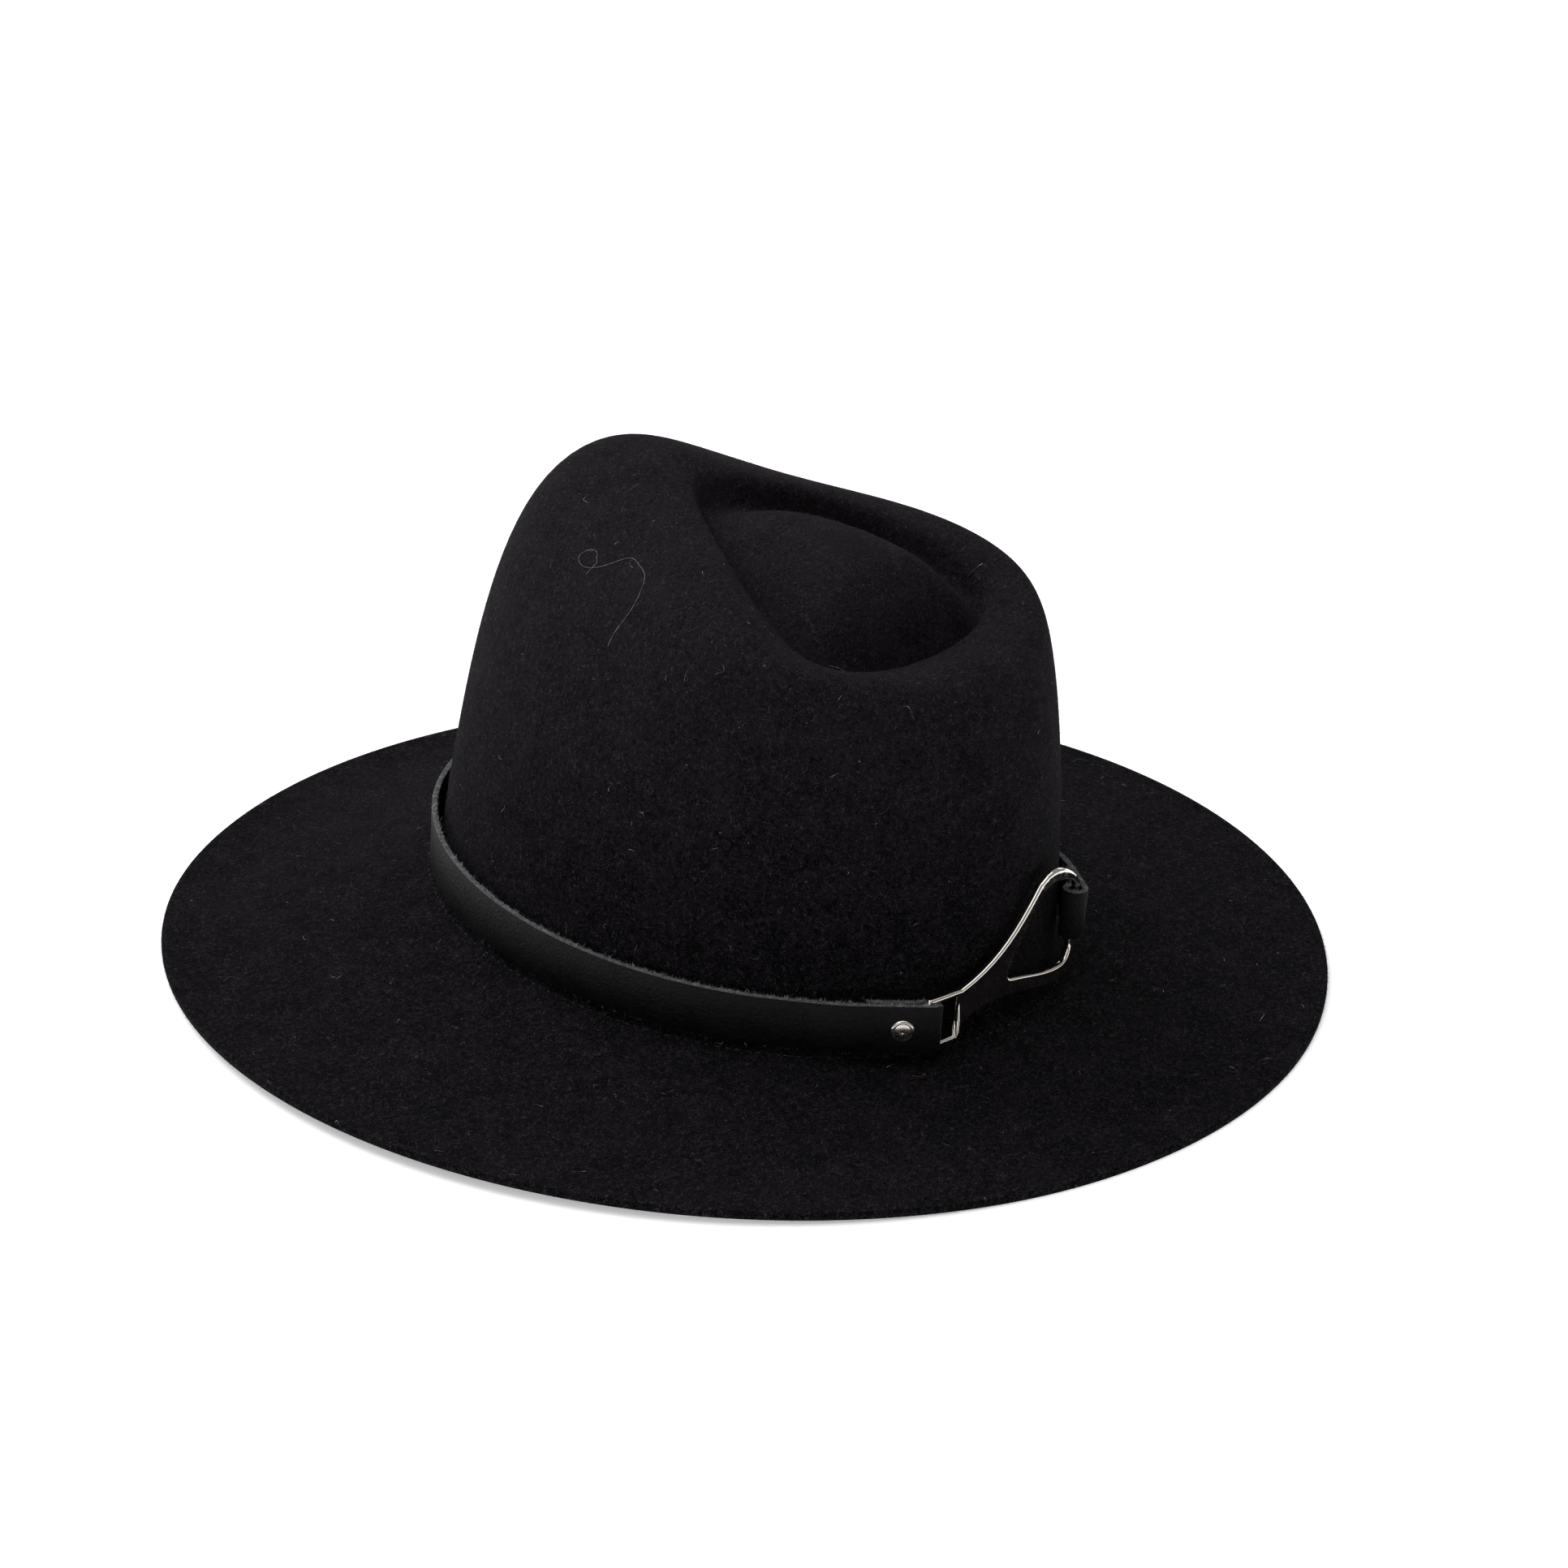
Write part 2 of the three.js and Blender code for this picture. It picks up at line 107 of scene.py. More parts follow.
def cycles(size_mm: float) -> float:
    """Pattern scale that makes one feature as large as size_mm on Object coordinates."""
    return 1.0 / (size_mm * MM)


def add_node(
    material: bpy.types.Material,
    kind: str,
    links: dict | None = None,
    values: dict | None = None,
    **settings: object,
) -> bpy.types.Node:
    """Adds a shader node with its settings and links.

    Args:
        material: the material whose node tree gets the node.
        kind: the node's type name.
        links: input socket to the output socket that feeds it.
        values: input socket to its default value.
        settings: attributes of the node itself.

    Returns:
        The new node.
    """
    node = material.node_tree.nodes.new(kind)
    for name, value in settings.items():
        setattr(node, name, value)
    # A node for several kinds of data repeats a socket's name, and enables the kind in use
    shown = {socket.name: socket for socket in node.inputs if socket.enabled}
    for socket, value in (values or {}).items():
        (node.inputs[socket] if isinstance(socket, int) else shown[socket]).default_value = value
    for socket, source in (links or {}).items():
        target = node.inputs[socket] if isinstance(socket, int) else shown[socket]
        material.node_tree.links.new(source, target)
    return node


def start_material(name: str) -> tuple[bpy.types.Material, bpy.types.Node, bpy.types.Node]:
    """Makes an empty node material.

    Args:
        name: the finish's plain name.

    Returns:
        The material, its Principled shader and its Texture Coordinate node.
    """
    material = bpy.data.materials.new(name)
    material.use_nodes = True
    material.node_tree.nodes.clear()
    shader = add_node(material, "ShaderNodeBsdfPrincipled")
    add_node(material, "ShaderNodeOutputMaterial", {"Surface": shader.outputs["BSDF"]})
    return material, shader, add_node(material, "ShaderNodeTexCoord")


def set_shader(
    shader: bpy.types.Node, sources: dict[str, bpy.types.NodeSocket], values: dict[str, object]
) -> None:
    """Feeds a shader its patterns, and sets the sockets that are the same all over.

    Args:
        shader: the Principled shader.
        sources: input socket to the output socket that feeds it.
        values: input socket to its value.
    """
    for socket, source in sources.items():
        shader.id_data.links.new(source, shader.inputs[socket])
    for socket, value in values.items():
        shader.inputs[socket].default_value = value


def contour(
    material: bpy.types.Material, noise: bpy.types.Node, width: float, on: float, off: float
) -> bpy.types.NodeSocket:
    """Draws the curly lines along which a noise passes through its middle value.

    Args:
        material: the material to add to.
        noise: the noise node.
        width: how far from the middle value a line fades out.
        on: the value on a line.
        off: the value beside the lines.

    Returns:
        The pattern's output.
    """
    middle = add_node(
        material, "ShaderNodeMath", {0: noise.outputs["Fac"]}, {1: 0.5}, operation="SUBTRACT")
    apart = add_node(material, "ShaderNodeMath", {0: middle.outputs[0]}, operation="ABSOLUTE")
    line = add_node(
        material, "ShaderNodeMapRange", {"Value": apart.outputs[0]},
        {"From Min": 0.0, "From Max": width, "To Min": on, "To Max": off})
    return line.outputs["Result"]


def two_tone(
    material: bpy.types.Material, factor: bpy.types.NodeSocket, stops: list[tuple[float, str]]
) -> bpy.types.NodeSocket:
    """Colours a pattern through a ramp.

    Args:
        material: the material to add to.
        factor: the pattern, from 0 to 1.
        stops: place and hex colour of each stop.

    Returns:
        The ramp's colour output.
    """
    ramp = add_node(material, "ShaderNodeValToRGB", {"Fac": factor})
    elements = ramp.color_ramp.elements
    while len(elements) < len(stops):
        elements.new(0.5)
    for element, (place, colour) in zip(elements, stops):
        element.position = place
        element.color = linear(colour)
    return ramp.outputs["Color"]


@dataclass(frozen=True)
class FeltFinish:
    """Pressed wool felt, after brushing.

    Wool pressed in steam is matt and near black, with curly matted strands that stand out
    against dark gaps. Its colour is painted darker low down and paler towards the top of the
    crown: painted shade and painted light that stand in for how the light falls.
    """

    name: str = "brushed_wool_felt"
    dark: str = "020203"
    light: str = "1d1a1d"
    strand: str = "4a454a"
    grain_mm: float = 0.6
    strands_mm: tuple[float, ...] = (2.1, 3.3)
    strand_width: float = 0.014
    strand_gap_share: float = 0.55
    strand_cover: float = 0.55
    strand_height: float = 0.2
    clump_mm: float = 1.7
    clump_share: float = 0.5
    mottle_mm: float = 11.0
    mottle_share: float = 0.25
    # Painted shade and light by height: the colour is darker low down, paler at the crown's top
    painted_light_heights_mm: tuple[float, float] = (20.0, 150.0)
    painted_shade_and_light: tuple[float, float] = (-0.2, 0.28)
    depth_mm: float = 0.3
    sheen: float = 0.018
    sheen_tint: str = "c4bcc8"

    def strands(
        self, material: bpy.types.Material, place: bpy.types.NodeSocket, size_mm: float
    ) -> bpy.types.NodeSocket:
        """Draws curly strands: the contour lines of a soft noise, broken into short lengths.

        Args:
            material: the material to add to.
            place: Object coordinates.
            size_mm: the size of the strands' curls.

        Returns:
            A value that is 1 on a strand.
        """
        curl = add_node(
            material, "ShaderNodeTexNoise", {"Vector": place},
            {"Scale": cycles(size_mm), "Detail": 1.5, "Distortion": 1.4})
        line = contour(material, curl, self.strand_width, 1.0, 0.0)
        gaps = add_node(
            material, "ShaderNodeTexNoise", {"Vector": place},
            {"Scale": cycles(size_mm * self.strand_gap_share), "Detail": 1.0})
        kept = add_node(
            material, "ShaderNodeMapRange", {"Value": gaps.outputs["Fac"]},
            {"From Min": 0.46, "From Max": 0.6})
        return add_node(
            material, "ShaderNodeMath", {0: line, 1: kept.outputs["Result"]},
            operation="MULTIPLY").outputs[0]

    def material(self) -> bpy.types.Material:
        """Builds the felt: strands over a speckled grain, in clumps, over a soft mottling, with
        painted shade low down and painted light towards the top.

        Returns:
            The material.
        """
        material, shader, coord = start_material(self.name)
        place = coord.outputs["Object"]
        noise = "ShaderNodeTexNoise"
        grain = add_node(
            material, noise, {"Vector": place},
            {"Scale": cycles(self.grain_mm), "Detail": 3.0, "Roughness": 0.7})
        clump = add_node(
            material, noise, {"Vector": place}, {"Scale": cycles(self.clump_mm), "Detail": 2.0})
        mottle = add_node(
            material, noise, {"Vector": place}, {"Scale": cycles(self.mottle_mm), "Detail": 1.0})
        matted = add_node(
            material, "ShaderNodeMath", {0: clump.outputs["Fac"], 2: grain.outputs["Fac"]},
            {1: self.clump_share}, operation="MULTIPLY_ADD")
        shade = add_node(
            material, "ShaderNodeMath", {0: mottle.outputs["Fac"], 2: matted.outputs[0]},
            {1: self.mottle_share}, operation="MULTIPLY_ADD")
        level = add_node(
            material, "ShaderNodeMapRange", {"Value": shade.outputs[0]},
            {"From Min": 0.65, "From Max": 1.11})
        parts = add_node(material, "ShaderNodeSeparateXYZ", {"Vector": place})
        # Painted shade and light: the colour gets darker low down and paler towards the crown's
        # top, by height alone
        low, high = self.painted_light_heights_mm
        less, more = self.painted_shade_and_light
        painted_height_light = add_node(
            material, "ShaderNodeMapRange", {"Value": parts.outputs["Z"]},
            {"From Min": low * MM, "From Max": high * MM, "To Min": less, "To Max": more})
        level_with_painted_light = add_node(
            material, "ShaderNodeMath", {0: level.outputs["Result"], 1: painted_height_light.outputs["Result"]},
            operation="ADD")
        ground = two_tone(material, level_with_painted_light.outputs[0], [(0.1, self.dark), (0.9, self.light)])
        fine, coarse = (self.strands(material, place, size) for size in self.strands_mm)
        strands = add_node(material, "ShaderNodeMath", {0: fine, 1: coarse}, operation="MAXIMUM")
        amount = add_node(
            material, "ShaderNodeMath", {0: strands.outputs[0]}, {1: self.strand_cover},
            operation="MULTIPLY")
        mixed = add_node(
            material, "ShaderNodeMix", {"Factor": amount.outputs[0], "A": ground},
            {"B": linear(self.strand)}, data_type="RGBA")
        height = add_node(
            material, "ShaderNodeMath", {0: strands.outputs[0], 2: matted.outputs[0]},
            {1: self.strand_height}, operation="MULTIPLY_ADD")
        bump = add_node(
            material, "ShaderNodeBump", {"Height": height.outputs[0]},
            {"Strength": 0.9, "Distance": self.depth_mm * MM})
        tint = next(out for out in mixed.outputs if out.enabled)
        set_shader(
            shader, {"Base Color": tint, "Normal": bump.outputs["Normal"]},
            {"Roughness": 0.95, "Specular IOR Level": 0.03, "Sheen Weight": self.sheen,
             "Sheen Roughness": 0.5, "Sheen Tint": linear(self.sheen_tint)})
        return material


@dataclass(frozen=True)
class FibreFinish:
    """Loose fibre, hair or thread: dull, a shade lighter or darker from strand to strand."""

    name: str
    dark: str
    light: str
    drift_mm: float = 1.6

    def material(self) -> bpy.types.Material:
        """Builds a fibre whose shade drifts over a few millimetres.

        Returns:
            The material.
        """
        material, shader, coord = start_material(self.name)
        drift = add_node(
            material, "ShaderNodeTexNoise", {"Vector": coord.outputs["Object"]},
            {"Scale": cycles(self.drift_mm), "Detail": 1.0})
        colour = two_tone(
            material, drift.outputs["Fac"], [(0.42, self.dark), (0.68, self.light)])
        set_shader(shader, {"Base Color": colour}, {"Roughness": 0.8, "Specular IOR Level": 0.2})
        return material


@dataclass(frozen=True)
class LeatherFinish:
    """Drum-dyed grain leather with a thin finish.

    The hide's grain shows as fine pebbles, pores and a few wrinkles, under a low shine that
    they break up. The pebbles and pores are drawn coarser than real ones, so that they show.
    """

    name: str = "dyed_grain_leather"
    dark: str = "070607"
    light: str = "120f11"
    pebble_mm: float = 0.85
    pebble_height: float = -0.9
    pore_mm: float = 0.3
    wrinkle_mm: float = 5.0
    wrinkle_width: float = 0.02
    wrinkle_height: float = -0.45
    cloud_mm: float = 9.0
    depth_mm: float = 0.38
    roughness: tuple[float, float] = (0.46, 0.58)

    def material(self) -> bpy.types.Material:
        """Builds the leather: cells of grain, pores, wrinkles and cloudy wear in the shine.

        Returns:
            The material.
        """
        material, shader, coord = start_material(self.name)
        place = coord.outputs["Object"]
        pebble = add_node(
            material, "ShaderNodeTexVoronoi", {"Vector": place},
            {"Scale": cycles(self.pebble_mm), "Smoothness": 0.6}, feature="SMOOTH_F1")
        pore = add_node(
            material, "ShaderNodeTexNoise", {"Vector": place},
            {"Scale": cycles(self.pore_mm), "Detail": 3.0})
        cloud = add_node(
            material, "ShaderNodeTexNoise", {"Vector": place},
            {"Scale": cycles(self.cloud_mm), "Detail": 3.0})
        grain = add_node(
            material, "ShaderNodeMath",
            {0: pebble.outputs["Distance"], 2: pore.outputs["Fac"]}, {1: self.pebble_height},
            operation="MULTIPLY_ADD")
        fold = add_node(
            material, "ShaderNodeTexNoise", {"Vector": place},
            {"Scale": cycles(self.wrinkle_mm), "Detail": 3.0, "Distortion": 0.8})
        wrinkle = contour(material, fold, self.wrinkle_width, self.wrinkle_height, 0.0)
        height = add_node(
            material, "ShaderNodeMath", {0: grain.outputs[0], 1: wrinkle}, operation="ADD")
        bump = add_node(
            material, "ShaderNodeBump", {"Height": height.outputs[0]},
            {"Strength": 1.0, "Distance": self.depth_mm * MM})
        glossy, dull = self.roughness
        rough = add_node(
            material, "ShaderNodeMapRange", {"Value": cloud.outputs["Fac"]},
            {"From Min": 0.3, "From Max": 0.7, "To Min": glossy, "To Max": dull})
        colour = two_tone(material, cloud.outputs["Fac"], [(0.3, self.dark), (0.7, self.light)])
        set_shader(
            shader,
            {"Base Color": colour, "Roughness": rough.outputs["Result"],
             "Normal": bump.outputs["Normal"]},
            {"IOR": 1.45, "Specular IOR Level": 0.22})
        return material


@dataclass(frozen=True)
class RawEdgeFinish:
    """Cut edge of the leather: undyed inside, a lighter grey, rough and fibrous."""

    name: str = "raw_cut_leather_edge"
    dark: str = "1c1d1f"
    light: str = "6f7174"
    fibre_mm: float = 0.45
    depth_mm: float = 0.3

    def material(self) -> bpy.types.Material:
        """Builds the torn, open fibre of a cut edge.

        Returns:
            The material.
        """
        material, shader, coord = start_material(self.name)
        fibre = add_node(
            material, "ShaderNodeTexNoise", {"Vector": coord.outputs["Object"]},
            {"Scale": cycles(self.fibre_mm), "Detail": 3.0, "Roughness": 0.7})
        bump = add_node(
            material, "ShaderNodeBump", {"Height": fibre.outputs["Fac"]},
            {"Strength": 1.0, "Distance": self.depth_mm * MM})
        colour = two_tone(material, fibre.outputs["Fac"], [(0.35, self.dark), (0.68, self.light)])
        set_shader(
            shader, {"Base Color": colour, "Normal": bump.outputs["Normal"]}, {"Roughness": 0.9})
        return material


@dataclass(frozen=True)
class NickelFinish:
    """Polished nickel plate on cast zinc.

    Polishing makes the plate a slightly warm mirror, a little duller in patches where it was
    handled, with hairlines that wiping left.
    """

    name: str = "polished_nickel_plate"
    colour: str = "e6e0d8"
    shine: float = 0.07
    wear: float = 0.16
    cloud_mm: float = 5.0
    hairline_mm: float = 2.0
    hairline_stretch: float = 14.0
    hairline_depth_mm: float = 0.02

    def material(self) -> bpy.types.Material:
        """Builds the mirror, a little duller in cloudy patches and along hairline scratches.

        Returns:
            The material.
        """
        material, shader, coord = start_material(self.name)
        place = coord.outputs["Object"]
        cloud = add_node(
            material, "ShaderNodeTexNoise", {"Vector": place},
            {"Scale": cycles(self.cloud_mm), "Detail": 4.0})
        stretch = add_node(
            material, "ShaderNodeMapping", {"Vector": place},
            {"Scale": (1.0, 1.0, self.hairline_stretch)})
        hair = add_node(
            material, "ShaderNodeTexNoise", {"Vector": stretch.outputs["Vector"]},
            {"Scale": cycles(self.hairline_mm), "Detail": 4.0})
        rough = add_node(
            material, "ShaderNodeMapRange", {"Value": cloud.outputs["Fac"]},
            {"From Min": 0.4, "From Max": 0.75, "To Min": self.shine, "To Max": self.wear})
        bump = add_node(
            material, "ShaderNodeBump", {"Height": hair.outputs["Fac"]},
            {"Strength": 0.12, "Distance": self.hairline_depth_mm * MM})
        set_shader(
            shader, {"Roughness": rough.outputs["Result"], "Normal": bump.outputs["Normal"]},
            {"Base Color": linear(self.colour), "Metallic": 1.0})
        return material


def merged_copy(node: str) -> bmesh.types.BMesh:
    """Copies a CAD node's mesh and joins its loose triangles.

    Args:
        node: the CAD node's name.

    Returns:
        The merged mesh.
    """
    shape = bmesh.new()
    shape.from_mesh(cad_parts[node].data)
    bmesh.ops.remove_doubles(shape, verts=shape.verts, dist=0.005 * MM)
    return shape


def place_piece(
    name: str,
    mesh: bpy.types.Mesh,
    materials: list[bpy.types.Material],
    stands_for: tuple[str, ...] = (),
) -> bpy.types.Object:
    """Puts a finished mesh in the scene as a piece of the hat.

    Args:
        name: the piece's name.
        mesh: its mesh, in the hat's frame.
        materials: its materials, in the order of their indices.
        stands_for: CAD nodes that it replaces.

    Returns:
        The piece's object.
    """
    for material in materials:
        mesh.materials.append(material)
    piece = bpy.data.objects.new(name, mesh)
    bpy.context.scene.collection.objects.link(piece)
    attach(piece, "root")
    if stands_for:
        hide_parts(*stands_for)
    mesh.calc_loop_triangles()
    LOG.info("%s: %d triangles", name, len(mesh.loop_triangles))
    return piece


def settled_mesh(
    name: str, data: bpy.types.Mesh | bpy.types.Curve, smoothing: int = 0
) -> bpy.types.Mesh:
    """Makes a plain mesh of a curve, or of a mesh with its surface subdivided.

    Args:
        name: the new mesh's name.
        data: the curve or the mesh.
        smoothing: how many times the surface is subdivided.

    Returns:
        The mesh.
    """
    holder = bpy.data.objects.new(name, data)
    bpy.context.scene.collection.objects.link(holder)
    if smoothing:
        modifier = holder.modifiers.new("smoothing", "SUBSURF")
        modifier.levels = modifier.render_levels = smoothing
    graph = bpy.context.evaluated_depsgraph_get()
    mesh = bpy.data.meshes.new_from_object(holder.evaluated_get(graph))
    mesh.name = name
    bpy.data.objects.remove(holder)
    return mesh


def basis(axes: tuple[Vector, Vector, Vector], place: Vector) -> Matrix:
    """Makes the matrix that takes the unit axes to three given ones, at a place.

    Args:
        axes: what X, Y and Z become.
        place: where the origin goes.

    Returns:
        The 4 by 4 matrix.
    """
    matrix = Matrix(axes).transposed().to_4x4()
    matrix.translation = place
    return matrix


def mesh_of(shape: bmesh.types.BMesh, name: str, smooth: bool = True) -> bpy.types.Mesh:
    """Writes a bmesh to a new mesh and frees it.

    Args:
        shape: the bmesh.
        name: the mesh's name.
        smooth: whether its faces are shaded smooth.

    Returns:
        The mesh.
    """
    for face in shape.faces:
        face.smooth = smooth
    mesh = bpy.data.meshes.new(name)
    shape.to_mesh(mesh)
    shape.free()
    return mesh


def unit(vectors: np.ndarray) -> np.ndarray:
    """Scales each row to length 1."""
    return vectors / np.linalg.norm(vectors, axis=1, keepdims=True)


def lie_on(normal: np.ndarray, rng: np.random.Generator) -> np.ndarray:
    """Picks a random direction along the surface at each point.

    Args:
        normal: the surface's normals, points by 3.
        rng: seeded random numbers.

    Returns:
        Unit vectors at right angles to the normals.
    """
    lay = rng.normal(size=normal.shape)
    lay -= normal * (lay * normal).sum(1, keepdims=True)
    return unit(lay)


def strand_mesh(
    name: str, spines: np.ndarray, across: np.ndarray, end_width: float = 0.45
) -> bpy.types.Mesh:
    """Joins many thin tapering ribbons into one mesh.

    Args:
        name: the mesh's name.
        spines: three or more points along each strand, strands by points by 3.
        across: half width of each strand at its root, as a vector, strands by 3.
        end_width: share of that width that is left just before the pointed tip.

    Returns:
        One mesh with every strand: a ribbon that ends in a point.
    """
    count, points, _ = spines.shape
    spines[..., 2] = np.maximum(spines[..., 2], LEAST_HEIGHT)
    taper = np.linspace(1.0, end_width, points - 1)[None, :, None]
    left = spines[:, :-1] - across[:, None] * taper
    right = spines[:, :-1] + across[:, None] * taper
    rails = np.stack([left, right], axis=2).reshape(count, 2 * (points - 1), 3)
    corners = np.concatenate([rails, spines[:, -1:]], axis=1)
    each = corners.shape[1]
    steps = points - 2
    quads = np.array([[2 * k, 2 * k + 1, 2 * k + 3, 2 * k + 2] for k in range(steps)])
    tip = np.array([each - 3, each - 2, each - 1])
    loops_of_one = np.concatenate([quads.ravel(), tip])
    starts_of_one = np.concatenate([np.arange(steps) * 4, [steps * 4]])
    base = np.arange(count)
    loops = (loops_of_one[None] + base[:, None] * each).ravel()
    starts = (starts_of_one[None] + base[:, None] * len(loops_of_one)).ravel()
    mesh = bpy.data.meshes.new(name)
    mesh.vertices.add(count * each)
    mesh.vertices.foreach_set("co", corners.astype(np.float32).ravel())
    mesh.loops.add(len(loops))
    mesh.loops.foreach_set("vertex_index", loops.astype(np.int32))
    mesh.polygons.add(len(starts))
    mesh.polygons.foreach_set("loop_start", starts.astype(np.int32))
    mesh.update(calc_edges=True)
    mesh.validate()
    return mesh


@dataclass
class FeltShell:
    """The pressed felt body, made smooth from the CAD shell's rows. Lengths in millimetres."""

    finish: FeltFinish = FeltFinish()
    # The inner face of the felt gets no brushing, so its strands show less
    inside: FeltFinish = FeltFinish(name="felt_inner_face", strand="262427")
    smoothing: int = 2
    edge_crease: float = 0.7
    rim_share: float = 0.9995
    least_diagonal: float = 1.0
    probe: float = 300.0
    mesh: bpy.types.Mesh | None = None
    search: BVHTree | None = None

    def rim_loops(self, shape: bmesh.types.BMesh) -> tuple[list, list]:
        """Finds the brim's two edge loops.

        Args:
            shape: the merged shell.

        Returns:
            Upper and lower loop, each in order round the hat.
        """
        low, high = CAD_BOX
        half_x, half_y = (high.x - low.x) / 2, (high.y - low.y) / 2
        rim = [
            v for v in shape.verts
            if math.hypot(v.co.x / half_x, v.co.y / half_y) > self.rim_share
        ]
        turn = {v: round(math.atan2(v.co.x, -v.co.y) % math.tau, 4) for v in rim}
        pairs: dict[float, list] = {}
        for vertex in rim:
            pairs.setdefault(turn[vertex], []).append(vertex)
        columns = [sorted(pairs[key], key=lambda v: v.co.z) for key in sorted(pairs)]
        return [c[-1] for c in columns], [c[0] for c in columns]

    def walk_rows(self, first: list, seen: set) -> list[tuple]:
        """Follows the shell's rows from the rim to its pole.

        Args:
            first: the first row's vertices, in order.
            seen: vertices that belong to no row ahead. Each row is added as it is walked.

        Returns:
            The diagonal edges between the rows, as vertex pairs.
        """
        diagonals = []
        row = first
        while True:
            seen.update(row)
            beyond = [{e.other_vert(v) for e in v.link_edges} - seen for v in row]
            if any(len(group) != 2 for group in beyond):
                return diagonals
            after = beyond[1:] + beyond[:1]
            for vertex, here, there in zip(row, beyond, after):
                diagonals.extend((vertex, other) for other in here & there)
            row = [next(iter(here - there)) for here, there in zip(beyond, after)]

    def rim_diagonals(self, shape: bmesh.types.BMesh, rim: set) -> list:
        """Finds the diagonals across the brim's cut edge: they rise and run along it at once.

        Args:
            shape: the merged shell.
            rim: the vertices of the brim's two edge loops.

        Returns:
            The diagonal edges.
        """
        found = []
        for edge in shape.edges:
            if all(vertex in rim for vertex in edge.verts):
                span = edge.verts[0].co - edge.verts[1].co
                if min(abs(span.z), span.xy.length) > self.least_diagonal * MM:
                    found.append(edge)
        return found

    def build(self) -> None:
        """Turns the shell's triangles back into a grid and subdivides it."""
        shape = merged_copy("felt_body")
        upper, lower = self.rim_loops(shape)
        seen = set(lower)
        pairs = self.walk_rows(upper, seen)
        outer = seen - set(lower)
        pairs += self.walk_rows(lower, set(upper))
        rim = set(upper) | set(lower)
        for face in shape.faces:
            shows = any(all(v in group for v in face.verts) for group in (outer, rim))
            face.material_index = Side.OUTER.value if shows else Side.INNER.value
        wanted = {frozenset(pair) for pair in pairs}
        edges = [e for e in shape.edges if frozenset(e.verts) in wanted]
        bmesh.ops.dissolve_edges(shape, edges=edges + self.rim_diagonals(shape, rim))
        crease = shape.edges.layers.float.new("crease_edge")
        for loop in (set(upper), set(lower)):
            for edge in shape.edges:
                if all(v in loop for v in edge.verts):
                    edge[crease] = self.edge_crease
        self.mesh = settled_mesh("felt", mesh_of(shape, "felt_grid"), self.smoothing)
        corners = [v.co for v in self.mesh.vertices]
        self.search = BVHTree.FromPolygons(corners, [p.vertices for p in self.mesh.polygons])

    def beside(self, angle: float, height: float) -> tuple[Vector, Vector]:
        """Finds the crown's side.

        Args:
            angle: angle round the hat, in radians.
            height: height over the floor, in metres.

        Returns:
            The point of the felt and its normal.
        """
        away = Vector((math.sin(angle), -math.cos(angle), 0.0))
        start = away * (self.probe * MM) + UP * height
        place, normal, _, _ = self.search.ray_cast(start, -away)
        return place, normal

    def under(self, x: float, y: float) -> tuple[Vector, Vector]:
        """Finds the felt's upper side at a place in plan.

        Args:
            x: metres to the wearer's left.
            y: metres to the rear.

        Returns:
            The point of the felt and its normal.
        """
        place, normal, _, _ = self.search.ray_cast(Vector((x, y, self.probe * MM)), -UP)
        return place, normal

    def dress(self) -> bpy.types.Object:
        """Places the felt in its outer and inner finish."""
        materials = [self.finish.material(), self.inside.material()]
        return place_piece("felt", self.mesh, materials, ("felt_body",))


@dataclass(frozen=True)
class StrapEnd:
    """One end of the strap, folded back round a bar of the hook. Lengths in millimetres.

    Attributes:
        side: 1 at the wearer's left, -1 at the right.
        leave: angle round the crown at which the strap leaves it, in degrees.
        toward: heading of its straight stretch in plan, in degrees.
        mid: height of its middle line over the crown's foot, at the bar.
        fall: how much lower the strap lies for each millimetre behind the bar.
        bar: place of the hook's bar along the hook's arc.
        bar_half: half the bar's width.
        pinch: half height of the strap where it is gathered round the bar.
    """

    side: int
    leave: float
    toward: float
    mid: float
    fall: float
    bar: float
    bar_half: float
    pinch: float


@dataclass(frozen=True)
class StrapSteps:
    """How many stations each stretch of the strap has."""

    around: int = 200
    bend: int = 30
    straight: int = 14
    fold: int = 18
    close: int = 8
    flat: int = 8


@dataclass(frozen=True)
class EdgeFuzz:
    """Torn fibres on the strap's cut edges, three in four on the upper one. Lengths in mm.

    Attributes:
        count: how many fibres.
        half_width: half a fibre's width at its root.
        sunk: how far the roots lie under the edge.
        over: from where to where the roots lie, as shares of the thickness, outward.
        along: spread of the lean along the strap.
        outward: mean and spread of the lean outward.
        tips: shape and scale of the gamma curve that the lengths follow.
        length: shortest and longest.
        seed: starts the random draws.
    """

    count: int = 12000
    half_width: float = 0.08
    sunk: float = 0.05
    over: tuple[float, float] = (-0.46, 0.5)
    along: float = 0.8
    outward: tuple[float, float] = (0.2, 0.5)
    tips: tuple[float, float] = (2.0, 0.24)
    length: tuple[float, float] = (0.1, 1.3)
    seed: int = 5


